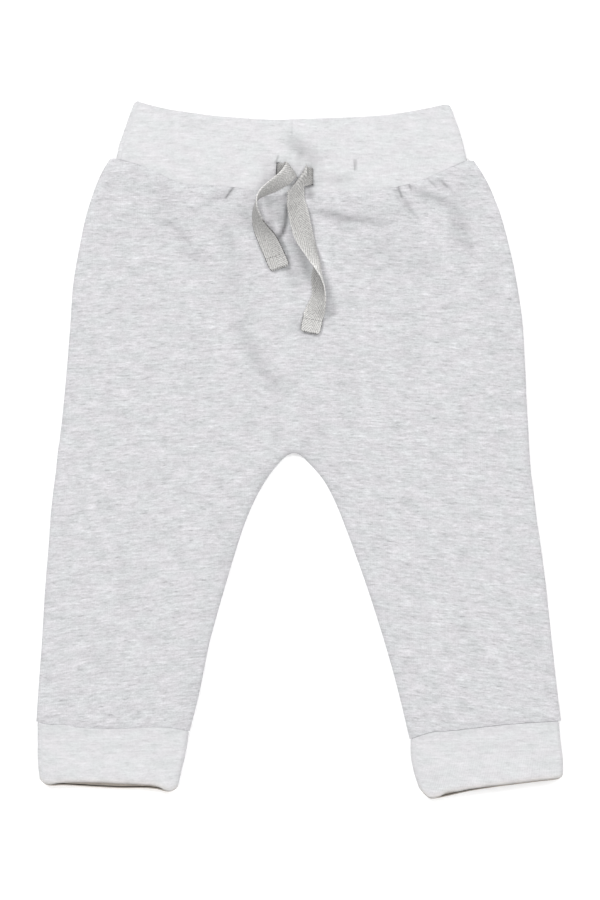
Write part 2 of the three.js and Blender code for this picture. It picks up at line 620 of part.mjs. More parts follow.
// Cuts an upright buttonhole through the waistband's upper wall at each place.
const WELD = 1e-4; // points closer than this are one point
function withButtonholes(geometry, centres) {
  const solidOf = (source) => {
    const bare = new THREE.BufferGeometry();
    bare.setAttribute("position", source.getAttribute("position").clone());
    bare.setIndex(source.getIndex().clone());
    const merged = BufferGeometryUtils.mergeVertices(bare, WELD);
    return new wasm.Manifold(new wasm.Mesh({
      numProp: 3,
      vertProperties: new Float32Array(merged.getAttribute("position").array),
      triVerts: new Uint32Array(merged.getIndex().array),
    }));
  };
  const middle = BAND_WALL + BAND_GAP / 2;
  const above = 3 * BAND_WALL;
  const cut = centres.reduce((solid, [x, y]) => {
    const slot = new THREE.BoxGeometry(BUTTONHOLE.wide, BUTTONHOLE.tall, above);
    slot.translate(x, y, middle + above / 2);
    return solid.subtract(solidOf(slot));
  }, solidOf(geometry));
  const mesh = cut.getMesh();
  const made = new THREE.BufferGeometry();
  made.setAttribute("position", new THREE.Float32BufferAttribute(mesh.vertProperties, 3));
  made.setIndex(Array.from(mesh.triVerts));
  return made;
}

// Drawstring: a flat tape along its route

// The height of the cloth's upper skin at a place: the waistband above its seam, the front below it.
function clothTop(x, y) {
  if (y > heightAt(WAIST_SEAM, x)) return 2 * BAND_WALL + BAND_GAP + BAND_SWELL;
  return frontHeights(x, y, edgeNear(x, y).far).high;
}

// A place across the tape, share from -0.5 to 0.5 of its width: how far it lies along the width's direction
// and out of it, and the same for the way its face looks there.
const FLAT = 0.001; // a roll of fewer radians counts as none
function rolled(width, turn, share) {
  if (Math.abs(turn) < FLAT) return { aside: share * width, up: 0, lean: 0, stand: 1 };
  const [radius, angle] = [width / turn, turn * share];
  return {
    aside: radius * Math.sin(angle),
    up: radius * (1 - Math.cos(angle)),
    lean: -Math.sin(angle),
    stand: Math.cos(angle),
  };
}

// Where a fold line crosses the tape aslant its cross lines are longer, up to this share of its width.
const LONGEST_CROSS = 1.35;
const TAPE_STEPS = 64;
const TAPE_PLACES = [-0.5, -0.25, 0, 0.25, 0.5];
const CLOSE_BY = 0.05; // the tape's direction is read this far to each side, in rows
const INSIDE_ROWS = 2; // rows of a route that lie in the buttonhole
function tape(route) {
  const last = route.length - 1;
  const vector = (key, t) => new THREE.Vector3(...[0, 1, 2].map((axis) => (
    through(route.map((row) => row[key][axis]), t))));
  const curls = route.map((row) => THREE.MathUtils.degToRad(row.curl ?? 0));
  const end = vector("at", last);
  const [outer, inner] = [[], []];
  fine(0, last, TAPE_STEPS).forEach((t) => {
    const middle = vector("at", t);
    const along = vector("at", Math.min(t + CLOSE_BY, last)).sub(vector("at", Math.max(t - CLOSE_BY, 0)));
    along.normalize();
    const across = vector("across", t).normalize();
    const square = new THREE.Vector3().crossVectors(along, across);
    const reach = TAPE_WIDTH * Math.min(1 / square.length(), LONGEST_CROSS);
    const face = square.normalize();
    const half = (middle.distanceTo(end) < TAPE_HEM ? TAPE_HEM_THICK : TAPE_THICK) / 2;
    const places = TAPE_PLACES.map((share) => rolled(reach, through(curls, t), share));
    const points = places.map(({ aside, up }) => (
      middle.clone().addScaledVector(across, aside).addScaledVector(face, up)));
    const short = points.map((point) => clothTop(point.x, point.y) + half + TAPE_REST - point.z);
    const lift = t < INSIDE_ROWS ? 0 : Math.max(0, ...short);
    points.forEach((point, k) => {
      point.z += lift;
      const out = face.clone().multiplyScalar(places[k].stand).addScaledVector(across, places[k].lean);
      outer.push(point.clone().addScaledVector(out, half).toArray());
      inner.push(point.clone().addScaledVector(out, -half).toArray());
    });
  });
  const faces = [];
  const count = TAPE_PLACES.length;
  for (let step = 0; step < TAPE_STEPS; step += 1) {
    for (let k = 0; k + 1 < count; k += 1) {
      const a = step * count + k;
      faces.push([a, a + 1, a + 1 + count, a + count]);
    }
  }
  return wallSolid(outer, inner, faces);
}

// The garment

const trousers = new THREE.Group();
function add(name, geometry, material) {
  const mesh = new THREE.Mesh(geometry, material);
  mesh.name = name;
  trousers.add(mesh);
}

add("back", panel(BACK_LINES, BACK_SHARES, backHeights), bodyColour);
add("front", panel(FRONT_LINES, FRONT_SHARES, frontHeights), bodyColour);
const buttonholes = Object.values(TAPES).map((route) => route[0].at);
add("waistband", withButtonholes(waistbandRing(), buttonholes), trimColour);
Object.keys(CUFFS).forEach((name) => add("cuff_" + name, cuffRing(name), trimColour));
Object.entries(TAPES).forEach(([name, route]) => add("drawstring_" + name, tape(route), tapeColour));

export default trousers;
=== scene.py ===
# %% [markdown]
# # Jogger sweatpants, laid flat
# A pair of small-child joggers lies on a pale table with the front up. The script dresses the solids of the
# frame: every piece keeps its place and size, and gets finer folds, seams and cloth. All tables are in
# millimetres, as a maker would measure them, and each mesh is turned into metres when it is made.

# %% Load the frame
import math

import bpy
import numpy as np
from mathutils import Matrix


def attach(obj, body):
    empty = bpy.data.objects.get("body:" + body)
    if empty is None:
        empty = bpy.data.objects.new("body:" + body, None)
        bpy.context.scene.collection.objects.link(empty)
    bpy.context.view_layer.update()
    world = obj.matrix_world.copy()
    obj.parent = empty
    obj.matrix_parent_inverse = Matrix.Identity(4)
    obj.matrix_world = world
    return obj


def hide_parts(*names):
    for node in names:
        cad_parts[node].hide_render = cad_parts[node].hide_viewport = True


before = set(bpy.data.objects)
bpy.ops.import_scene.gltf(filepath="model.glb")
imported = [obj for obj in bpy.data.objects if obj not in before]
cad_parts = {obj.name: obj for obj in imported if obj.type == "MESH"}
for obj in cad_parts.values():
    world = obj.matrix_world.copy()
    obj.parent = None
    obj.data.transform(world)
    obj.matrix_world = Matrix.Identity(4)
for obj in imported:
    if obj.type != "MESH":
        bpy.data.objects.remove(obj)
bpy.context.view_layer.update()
MM = 0.001

# %% [markdown]
# ## The camera
# The garment was seen from straight above, through a long lens far away. The camera looks down its own -Z
# with +Y up, so it needs only a place, and a lens that makes one pixel 0.59 mm wide at the cloth.

# %% Camera straight above
PIXEL = 0.59 * MM
PICTURE_TALL = 900
DISTANCE = 1.6
CLOTH_LEVEL = 0.005


def put(name, data):
    """A new object in the scene."""
    made = bpy.data.objects.new(name, data)
    bpy.context.scene.collection.objects.link(made)
    return made


camera = put("camera", bpy.data.cameras.new("camera"))
camera.data.sensor_width = 36.0
camera.data.lens = camera.data.sensor_width * DISTANCE / (PICTURE_TALL * PIXEL)
camera.location = (0.25 * PIXEL, 0.5 * PIXEL, DISTANCE + CLOTH_LEVEL)
bpy.context.scene.camera = camera
print("lens", round(camera.data.lens, 1), "mm")

# %% [markdown]
# ## Cloth sizes and the outline
# Each cross line runs from a side seam to the centre line or the inseam, so a place on the garment is two
# numbers: t counts the cross lines from the waist down, and u goes from 0 at the side seam to 1 at the centre
# or the inseam.

# %% Sizes of the cloth
FLEECE = 1.9
BAND_WALL = 2.8
CUFF_WALL = 2.6
SEAM_GAP = 0.3
# what shows of the gap at the waist seam and at the two cuff seams
SEWN = {"waist": 0.02, "left": 0.05, "right": 0.18}
LAYER_GAP = 0.5
BODY_LOFT = 1.0
LOFT_REACH = 26
EDGE_ROUND = 2.8
BAND_GAP = 0.8
BAND_SWELL = 0.5
CUFF_GAP = 0.8
CUFF_MOUTH = 2.4
LOWEST_GAP = 0.35
SEAM_HEIGHT = FLEECE + LAYER_GAP / 2

# %% The laid outline
# side seam and centre line from the waist seam down to the crotch: left x, y, centre x, y, right x, y
BODY_LINES = np.array([
    (-112.3, 172.2, -4.9, 151.9, 102.8, 171.2), (-116.9, 164.3, -4.8, 143.7, 108.1, 163.4),
    (-121.4, 153.7, -4.7, 133, 113.1, 153.4), (-126.4, 137.8, -4.6, 117.1, 119, 137.8),
    (-130.5, 118.3, -4.4, 97.6, 124.2, 118.3), (-133.9, 97.6, -4.2, 77, 128.4, 97.6),
    (-135.6, 74, -3.9, 53.4, 131.7, 74), (-137.3, 52.2, -3.6, 32.7, 133, 52.2),
    (-139.4, 28.6, -3.5, 13.9, 134.1, 28.6), (-141.7, 7.4, -3.4, -1.5, 135.3, 7.4),
])
# side seam and inseam of each leg, down to the cuff: left x, y, left inner x, y, right inner x, y, right x, y
LEG_LINES = np.array([
    (-143, -0.9, -7.2, -2.7, 0.4, -2.7, 135.8, -2.1), (-144, -11.5, -12.5, -7.7, 6, -8, 136.6, -12.7),
    (-145.7, -24.5, -19.9, -17.4, 14, -17.4, 138.1, -24.5),
    (-147.2, -38.6, -27.6, -31.3, 21.4, -31.3, 139.8, -38.6),
    (-148.5, -57.5, -35, -50.4, 28.9, -50.4, 142.5, -57.5),
    (-150.5, -82.3, -44.7, -82.3, 40.3, -82.3, 145.7, -82.3),
    (-152.5, -114.8, -53.5, -114.2, 50.6, -114.8, 149.1, -114.8),
    (-154.4, -141.3, -59.1, -141.9, 58.3, -142.5, 152.2, -142.5),
    (-155.7, -160.2, -65, -165.2, 64.9, -169.9, 154.3, -158.7),
])
CROTCH = len(BODY_LINES) - 1
LAST_LINE = CROTCH + len(LEG_LINES)
WAIST_SEAM = np.array([
    (-112.3, 172.2), (-108.4, 172.2), (-101.9, 170.5), (-92.5, 167.6), (-83, 163.4), (-75, 159.5),
    (-65, 157.2), (-39.4, 155.2), (-23.5, 153.1), (-4.9, 151.9), (11.9, 151.9), (46.2, 153.6),
    (63.3, 156.8), (77.4, 161.7), (92.2, 168.4), (98.7, 170.9), (102.8, 171.2),
])
CUFF_SEAMS = {
    "left": np.array([
        (-155.7, -160.2), (-147.4, -161.7), (-139.7, -161.7), (-129.4, -163.3), (-119, -163.9),
        (-101.8, -163.9), (-84.6, -163.1), (-74.3, -163.9), (-65, -165.7),
    ]),
    "right": np.array([
        (64.9, -170.5), (70.8, -168.3), (79.1, -165.9), (86.7, -165.5), (100.4, -164.1), (116.3, -162.2),
        (134.8, -160.7), (154.3, -159.6),
    ]),
}

# %% [markdown]
# ## Curves and distances
# Three small tools do all the drawing: a smooth curve through the rows of a table, the height of a seam line
# at any x, and the distance from a drawn line. They take whole arrays.

# %% Curves through tables
def mix(a, b, f):
    """Goes straight from a to b as f goes from 0 to 1."""
    return a + (b - a) * f


def through(values, t):
    """A cubic through evenly counted rows, with each row's slope half the step between its neighbours."""
    values, t = np.asarray(values, float), np.asarray(t, float)
    last = len(values) - 1
    i = np.clip(np.floor(t).astype(int), 0, last - 1)
    f, first, final = t - i, i == 0, i == last - 1
    if values.ndim == 2:
        f, first, final = f[..., None], first[..., None], final[..., None]
    b, c = values[i], values[i + 1]
    a = np.where(first, 2 * b - c, values[i - 1])
    d = np.where(final, 2 * c - b, values[np.minimum(i + 2, last)])
    return b + 0.5 * f * (c - a + f * (2 * a - 5 * b + 4 * c - d + f * (3 * (b - c) + d - a)))


def height_at(line, x):
    """The y of a line of x, y rows at x: a cubic whose slope at a row is the slope between its neighbours."""
    last = len(line) - 1
    at = np.clip(x, line[0, 0], line[last, 0])
    k = np.clip(np.searchsorted(line[:, 0], at), 1, last)
    low, high = np.maximum(np.arange(last + 1) - 1, 0), np.minimum(np.arange(last + 1) + 1, last)
    slope = (line[high, 1] - line[low, 1]) / (line[high, 0] - line[low, 0])
    wide, rise = line[k, 0] - line[k - 1, 0], line[k, 1] - line[k - 1, 1]
    f, s, e = (at - line[k - 1, 0]) / wide, slope[k - 1] * wide, slope[k] * wide
    return line[k - 1, 1] + f * (s + f * (3 * rise - 2 * s - e + f * (s + e - 2 * rise)))


def nearest(line, x, y):
    """Distance from a drawn line, the unit way to its left there, the share of the way along it and the side:
    +1 to its left and -1 to its right. It looks at one straight piece at a time and keeps the nearest."""
    line = np.asarray(line, float)
    best = [np.full(np.shape(x), np.inf)] + [np.zeros(np.shape(x)) for _ in range(4)]
    steps = np.hypot(*np.diff(line, axis=0).T)
    done = np.concatenate([[0], np.cumsum(steps)]) / steps.sum()
    for k, long in enumerate(steps):
        (ax, ay), (dx, dy) = line[k], line[k + 1] - line[k]
        f = np.clip(((x - ax) * dx + (y - ay) * dy) / long**2, 0, 1)
        px, py = x - ax - f * dx, y - ay - f * dy
        far = np.hypot(px, py)
        found = [far, -dy / long, dx / long, mix(done[k], done[k + 1], f), np.sign(dx * py - dy * px)]
        nearer = far < best[0]
        best = [np.where(nearer, new, old) for new, old in zip(found, best)]
    return best


# %% Points of the laid body
SIDES = {
    "left": np.vstack([BODY_LINES[:, 0:2], LEG_LINES[:, 0:2]]),
    "right": np.vstack([BODY_LINES[:, 4:6], LEG_LINES[:, 6:8]]),
}
CENTRE = BODY_LINES[:, 2:4]
INSEAM = np.vstack([LEG_LINES[::-1, 2:4], CENTRE[-1:], LEG_LINES[:, 4:6]])
WAIST_FADE, CUFF_FADE = 5, 3


def inner_point(half, t):
    """The centre line above the crotch, and one inseam that runs up the left leg and down the right one."""
    t = np.asarray(t, float)
    along = len(LEG_LINES) + (CROTCH - t if half == "left" else t - CROTCH)
    return np.where((t <= CROTCH)[..., None], through(CENTRE, np.minimum(t, CROTCH)), through(INSEAM, along))


def seam_bend(half, t, u):
    """How far the lines near a seam bend towards its curve: all the way at the seam, fading by squares."""
    bend = 0
    for end, fade, seam in ((0, WAIST_FADE, WAIST_SEAM), (LAST_LINE, CUFF_FADE, CUFF_SEAMS[half])):
        side, inner = through(SIDES[half], float(end)), inner_point(half, float(end))
        off = height_at(seam, mix(side[0], inner[0], u)) - mix(side[1], inner[1], u)
        bend = bend + off * np.clip(1 - np.abs(t - end) / fade, 0, 1) ** 2
    return bend


def on_body(half, t, u):
    """x and y of a place: straight across its cross line, bent to the seams, half a gap short of them."""
    side, inner = through(SIDES[half], t), inner_point(half, t)
    y = mix(side[..., 1], inner[..., 1], u) + seam_bend(half, t, u)
    short = np.where(t <= 0, -SEWN["waist"] / 2, np.where(t >= LAST_LINE, SEWN[half] / 2, 0))
    return mix(side[..., 0], inner[..., 0], u), y + short


down, up = np.linspace(0, LAST_LINE, 91), np.linspace(LAST_LINE, CROTCH, 61)
FOLDED_EDGES = [
    through(SIDES["left"], down),
    through(SIDES["right"], down[::-1]),
    np.vstack([inner_point("left", up), inner_point("right", up[::-1])]),
]


def edge_near(x, y):
    """Distance to the nearest folded edge, and the way from it into the cloth, always to its left."""
    found = [nearest(line, x, y)[:3] for line in FOLDED_EDGES]
    which = np.argmin([f[0] for f in found], axis=0)
    return [np.choose(which, [f[k] for f in found]) for k in range(3)]


print("body", LAST_LINE, "cross lines; folded edges", [len(line) for line in FOLDED_EDGES], "points")

# %% [markdown]
# ## How high the cloth lies
# Two soft layers lie on each other. The front stands up away from the folded sides, puffs below the waist
# seam where the body is gathered into a shorter band, and dips along its creases. Each crease is a row of a
# table: its path, how deep it goes, how wide it is to its left and right, because a real crease has a steep
# side and a gentle one, and the share of light lost in it, painted as shade into the colour; it is less than
# 0 where light is painted on and the cloth shows paler.

# %% Creases of the front
CREASES = [
    # the left hip
    ([(-83.6, 132.5), (-75.4, 132.5), (-70.1, 126.6), (-65.9, 120.1), (-58.9, 110)], 1.5, 3.2, 4.5, 0.1),
    # under the left of the band
    ([(-88.4, 150.2), (-82.5, 154.9), (-75.4, 156.1)], 0.9, 3.5, 4.5, 0.07),
    ([(-79.5, 155.5), (-77.7, 147.8), (-78.9, 140.7)], 0.6, 4, 4, 0.04),
    ([(-38.8, 155.5), (-41.7, 151.3), (-46.5, 148.4), (-53, 145.4)], 1.5, 2.2, 3, 0.12),
    # the long crease, in two parts
    ([(-45.9, 134.8), (-42.3, 121.2), (-39.4, 111.2), (-38.2, 99.4), (-36.4, 87.6)], 1.3, 4.5, 4.5, 0.09),
    ([(-37.6, 81.7), (-34.7, 72.3), (-30.5, 61.7), (-22.3, 47.5), (-15.8, 36.3), (-6.3, 28.6)],
        1.5, 4, 3.5, 0.11),
    # between and beside the tapes: creases with painted shade, and painted shadow that the tapes cast on the
    # cloth
    ([(-8.1, 112), (-5.2, 102.6), (-0.4, 95)], 1, 3, 3, 0.12),
    ([(-8, 147.5), (-7.4, 142.5), (-8, 134.3), (-9.9, 128.3), (-13.4, 124.2)], 1.2, 1.1, 1.3, 0.55),
    ([(-12.4, 127), (-8.1, 118.3), (-5.9, 111.2)], 0.2, 1.2, 1.2, 0.4),
    ([(-11.7, 139.5), (-10.5, 133.6), (-9.9, 126.6)], 0.5, 2.2, 2.2, 0.18),
    ([(3.1, 156.5), (5.5, 152.8), (7.2, 148.3)], 0.3, 3, 3, 0.4),
    ([(10.8, 150.2), (12.5, 146)], 0.6, 1, 1, 0.15),
    ([(-1, 120.7), (3.1, 111.2), (6.3, 101.8)], 0.4, 2, 2.5, 0.28),
    # painted light in the left tape's loop and under its flap, lifting the tapes' shadows there
    ([(-23.2, 150.2), (-21.5, 141.9), (-18, 133.6)], 0, 2.3, 2.3, -0.4),
    ([(-13, 149), (-6, 147.5)], 0, 2.4, 2.4, -0.35),
    # right of the tapes, and its branch
    ([(6.6, 140.1), (17.8, 137.6), (26.7, 135.2), (38.5, 134), (52.1, 131.8)], 1.9, 3.2, 3, 0.14),
    ([(22.6, 135.4), (27.3, 129.5), (33.2, 128.3)], 0.8, 3, 3, 0.06),
    # the right pleats and the right hip
    ([(58, 155.5), (59.7, 148.4), (64.5, 140.7), (70.4, 134.2)], 1.5, 2.2, 2.6, 0.1),
    ([(63.3, 155.5), (70.9, 151.3), (77.4, 148.4), (84.5, 144.8), (90.4, 143.1)], 1.7, 2.6, 2.6, 0.16),
    ([(88.6, 145.4), (92.2, 138.9), (95.1, 130.1), (96.9, 122.4), (100.4, 113)], 1.6, 4.5, 4.5, 0.13),
    ([(79.2, 159.6), (83.3, 157.2), (88.1, 153.7)], 1.4, 1.8, 2.2, 0.12),
    # wide soft hollows and small ones
    ([(36.7, 103), (46.2, 114.8), (56.8, 120.7), (65, 111.2), (80.4, 102.4)], 0.8, 8, 8, 0.05),
    ([(50.3, 107.7), (59.1, 103.5), (70.9, 105.3)], 0.3, 6, 6, 0.03),
    ([(-103.7, 138.9), (-102.5, 130.1)], 0.5, 4, 4, 0.04),
    ([(-94, 132), (-88, 124), (-74, 121)], 0.4, 4, 4, 0.03),
    ([(-64, 114), (-55, 110), (-45, 109)], 0.4, 3.5, 3.5, 0.04),
    ([(108.7, 98.2), (110.5, 91.7)], 0.4, 4, 4, 0.05),
    ([(106.9, 68.1), (107.5, 59.3)], 0.4, 5, 5, 0.03),
    ([(121.1, 34.5), (125.2, 25.1)], 0.4, 6, 6, 0.03),
    ([(-5.2, 77.6), (1.9, 71.1), (7.2, 67.6)], 0.3, 3, 3, 0.11),
    ([(-34.5, 151), (-27, 149.6)], 0.4, 3, 3, 0.13),
    # low ridges between them, with a little painted light; the two beside the tapes carry more painted light,
    # lifting the tapes' shadows
    ([(66.2, 144.8), (73.9, 133), (78, 120.7)], -0.7, 4, 4, -0.03),
    ([(13.1, 130.7), (17.8, 123.6)], -0.5, 4, 4, -0.03),
    ([(-28, 147), (-27.6, 142), (-25, 135)], -0.3, 3, 3, -0.13),
    ([(11.8, 118), (14.8, 109), (15.8, 100)], -0.2, 3, 3, -0.13),
    ([(-33.5, 127.1), (-31.7, 117.1)], -0.5, 3.5, 3.5, -0.03),
]
NICKS = [
    # a pleat pinches into a nick of painted shade where it starts at the seam: path, spread, light lost
    ([(-39.1, 155.2), (-41.2, 152.5), (-43.5, 149)], 0.6, 0.5),
    ([(57.7, 156.6), (58.6, 153.7), (60.3, 149.3)], 0.65, 0.4),
    ([(64.5, 156.9), (65.6, 153.7)], 0.6, 0.36),
    ([(75.1, 160.8), (77.4, 158.4), (79.8, 155.5)], 0.7, 0.22),
    ([(83.9, 159), (86.9, 155.5)], 0.7, 0.22),
]
PUFF = {"height": 1.5, "below": 8, "spread": 8}
FULLNESS = {"height": 0.9, "from": 8}
RIPPLES = [
    # long soft waves: length, direction in degrees, height, start
    (61, 20, 0.10, 0.3), (43, 115, 0.09, 1.9), (29, 70, 0.07, 4.1), (37, 160, 0.07, 2.6), (19, 35, 0.04, 5.0),
]
END_SHARE, MOST_LOST = 0.4, 0.8


def crease_bells(x, y):
    """Each crease is a bell across its path, narrower on one side, and fades over a fifth at each end. The
    bells are added up twice: as a depth, and as the share of light lost in it, with the nicks as well."""
    depth, dark = np.zeros(np.shape(x)), np.zeros(np.shape(x))
    for path, deep, left, right, lost in CREASES:
        far, _, _, along, side = nearest(path, x, y)
        spread = np.where(side > 0, left, right)
        fade = np.clip(np.minimum(along, 1 - along) * 5, 0, 1)
        bell = np.exp(-((far / spread) ** 2)) * mix(END_SHARE, 1, fade)
        depth, dark = depth + deep * bell, dark + lost * bell
    for path, spread, lost in NICKS:
        dark = dark + lost * np.exp(-((nearest(path, x, y)[0] / spread) ** 2))
    return depth, np.minimum(dark, MOST_LOST)


def ripples(x, y):
    """A sum of a few long sine waves, each along its own direction."""
    total = np.zeros(np.shape(x))
    for long, turn, tall, start in RIPPLES:
        a = math.radians(turn)
        total += tall * np.sin(2 * math.pi * (x * math.cos(a) + y * math.sin(a)) / long + start)
    return total


def smooth(f):
    """Eases from 0 to 1 with a level start and end."""
    f = np.clip(f, 0, 1)
    return f * f * (3 - 2 * f)


def layer_gap(x, y, far):
    """The room between back and front: loft, fullness and puff, less the creases, never under its least."""
    below = height_at(WAIST_SEAM, x) - y
    loft = BODY_LOFT * (1 - np.exp(-far / LOFT_REACH))
    puff = PUFF["height"] * np.exp(-(((below - PUFF["below"]) / PUFF["spread"]) ** 2))
    inside = smooth(far / FULLNESS["from"])
    stands = puff + FULLNESS["height"] + ripples(x, y) - crease_bells(x, y)[0]
    return np.maximum(LOWEST_GAP, LAYER_GAP + loft + inside * stands)


def rounding(far, reach=EDGE_ROUND):
    """A quarter circle: 0 at an edge, 1 from its reach inwards."""
    return np.sqrt(1 - (1 - np.clip(far / reach, 0, 1)) ** 2)


# %% Heights of both panels
SEAM_ROLL = {"reach": 1.9, "waist": 0.08, "cuff": 0.7}


def seam_distances(x, y):
    """How far a place of the body is from the waist seam above it, and from the cuff seam below it."""
    waist = height_at(WAIST_SEAM, x) - y
    cuffs = y - np.where(x < 0, height_at(CUFF_SEAMS["left"], x), height_at(CUFF_SEAMS["right"], x))
    return [np.clip(far, 0, None) for far in (waist, np.where(y < 0, cuffs, np.inf))]


def front_heights(x, y, far):
    """Outer and inner height of the front, lifted off the back, rounded at its sides, rolled in at seams."""
    low = FLEECE + layer_gap(x, y, far)
    rim = SEAM_HEIGHT + SEAM_GAP / 2
    lifted = rounding(far)
    waist, cuff = [1 - rounding(way, SEAM_ROLL["reach"]) for way in seam_distances(x, y)]
    roll = SEAM_ROLL["waist"] * waist + SEAM_ROLL["cuff"] * cuff
    high = mix(rim, low + FLEECE - roll, lifted)
    return high, np.maximum(mix(rim, low, lifted), rim)


def back_heights(x, y, far):
    """The back lies flat on the table and turns up at its folded sides."""
    rim = SEAM_HEIGHT - SEAM_GAP / 2
    return mix(rim, 0, rounding(far)), mix(rim, FLEECE, np.clip(far / EDGE_ROUND, 0, 1))


def cloth_top(x, y):
    """The height of what lies uppermost: the waistband above its seam, the front below it."""
    front = front_heights(x, y, edge_near(x, y)[0])[0]
    return np.where(y > height_at(WAIST_SEAM, x), 2 * BAND_WALL + BAND_GAP + BAND_SWELL, front)


# %% [markdown]
# ## Meshes from grids
# A wall of cloth is two grids of points that share their faces, an outer skin and an inner one, with a strip
# along every open edge. Those are the edges that only one face uses, so a buttonhole gets its own strip.

# %% A wall of cloth as a mesh
def open_edges(faces):
    """The directed edges of quads whose opposite direction no other face has."""
    a, b = faces.ravel(), np.roll(faces, -1, axis=1).ravel()
    size = faces.max() + 1
    there, back = a.astype(np.int64) * size + b, b.astype(np.int64) * size + a
    alone = ~np.isin(there, back)
    return a[alone], b[alone]


def link_mesh(name, points, faces, uv, marks):
    """Makes an object from points in mm and quads, with its UV map in metres and one number per point for
    each named mark."""
    mesh = bpy.data.meshes.new(name)
    mesh.vertices.add(len(points))
    mesh.vertices.foreach_set("co", (points * MM).astype(np.float32).ravel())
    mesh.loops.add(faces.size)
    mesh.loops.foreach_set("vertex_index", faces.astype(np.int32).ravel())
    mesh.polygons.add(len(faces))
    mesh.polygons.foreach_set("loop_start", np.arange(0, faces.size, 4, dtype=np.int32))
    mesh.polygons.foreach_set("use_smooth", np.ones(len(faces), bool))
    mesh.update(calc_edges=True)
    layer = mesh.uv_layers.new(name="cloth")
    layer.data.foreach_set("uv", (uv[faces.ravel()] * MM).astype(np.float32).ravel())
    for key, values in marks.items():
        mesh.attributes.new(key, "FLOAT", "POINT").data.foreach_set("value", values.astype(np.float32))
    return put(name, mesh)


def wall(name, outer, inner, faces, uv, marks):
    """A closed wall: outer skin, inner skin with its faces turned round, and a strip along each open edge,
    all turned if its volume is negative. A mark is a pair of arrays, a number for each point of a skin."""
    used, fresh = np.unique(faces, return_inverse=True)
    faces, count = fresh.reshape(faces.shape), len(used)
    a, b = open_edges(faces)
    strip = np.stack([a, a + count, b + count, b], axis=1)
    quads = np.vstack([faces, faces[:, ::-1] + count, strip])
    points = np.vstack([outer[used], inner[used]])
    a, b, c, d = points[quads.T]
    if (a * np.cross(b, c)).sum() + (a * np.cross(c, d)).sum() < 0:
        quads = quads[:, [0, 3, 2, 1]]
    both = {key: np.concatenate([skin[used] for skin in pair]) for key, pair in marks.items()}
    made = link_mesh(name, points, quads, np.tile(uv[used], (2, 1)), both)
    made.data.set_sharp_from_angle(angle=math.radians(50))
    print(name, len(quads) * 2, "triangles")
    return made


# %% [markdown]
# ## The drawstring
# A flat woven tape comes out of two upright buttonholes. Each free end is a strip carried along a path: the
# table gives its middle line and the direction of its width, which turns as the tape folds over and twists.
# Where a stretch would dip into the cloth it is lifted until it rests on it.

# %% The tape's two ends
TAPE = {"width": 12, "thick": 0.9, "hem": 8, "hem_thick": 1.3, "rest": 0.3, "inside_rows": 2, "longest": 1.35}
CORNER = {"reach": 2.4, "cut": 0.22}
EDGE_THIN, EDGE_FROM, EDGE_OVER = 0.35, 0.42, 0.08
STRAIGHT, STEP = 0.001, 0.05
# gathered to a share of its width at the root; painted shadow darkens its rims on the last stretch and its
# tip
GATHER = {"left": 0.95, "right": 0.74, "reach": 10}
RIM_SHADOW = {"left": 31, "right": 10}
TIP_SHADOW = {"left": 0.5, "right": 1.0, "long": 0.7}
SHADES = {
    # how far along, and the share of light lost on both sides, or on face and back; less than 0 where raised
    "left": np.array([
        (0, 0.4), (6, 0.25), (9, 0.05), (12, 0.08), (15, 0.06), (19, -0.24), (30, -0.2), (38, -0.3),
        (44, -0.2), (48, 0.05), (54, 0.14), (60, 0.08), (66, 0.02), (87, 0),
    ]),
    "right": np.array([
        (0, 0.45, 0.45), (6, 0.3, 0.3), (11, 0.16, 0.16), (16, 0.05, 0.05), (40, 0.08, 0.08),
        (52, 0, 0.03), (60, -0.05, 0.15), (66, -0.25, 0.27), (76, -0.35, 0.3), (82, -0.35, 0.24),
        (87, -0.2, 0.05), (92, 0, 0), (98, -0.1, -0.1), (108, -0.14, -0.14),
    ]),
}
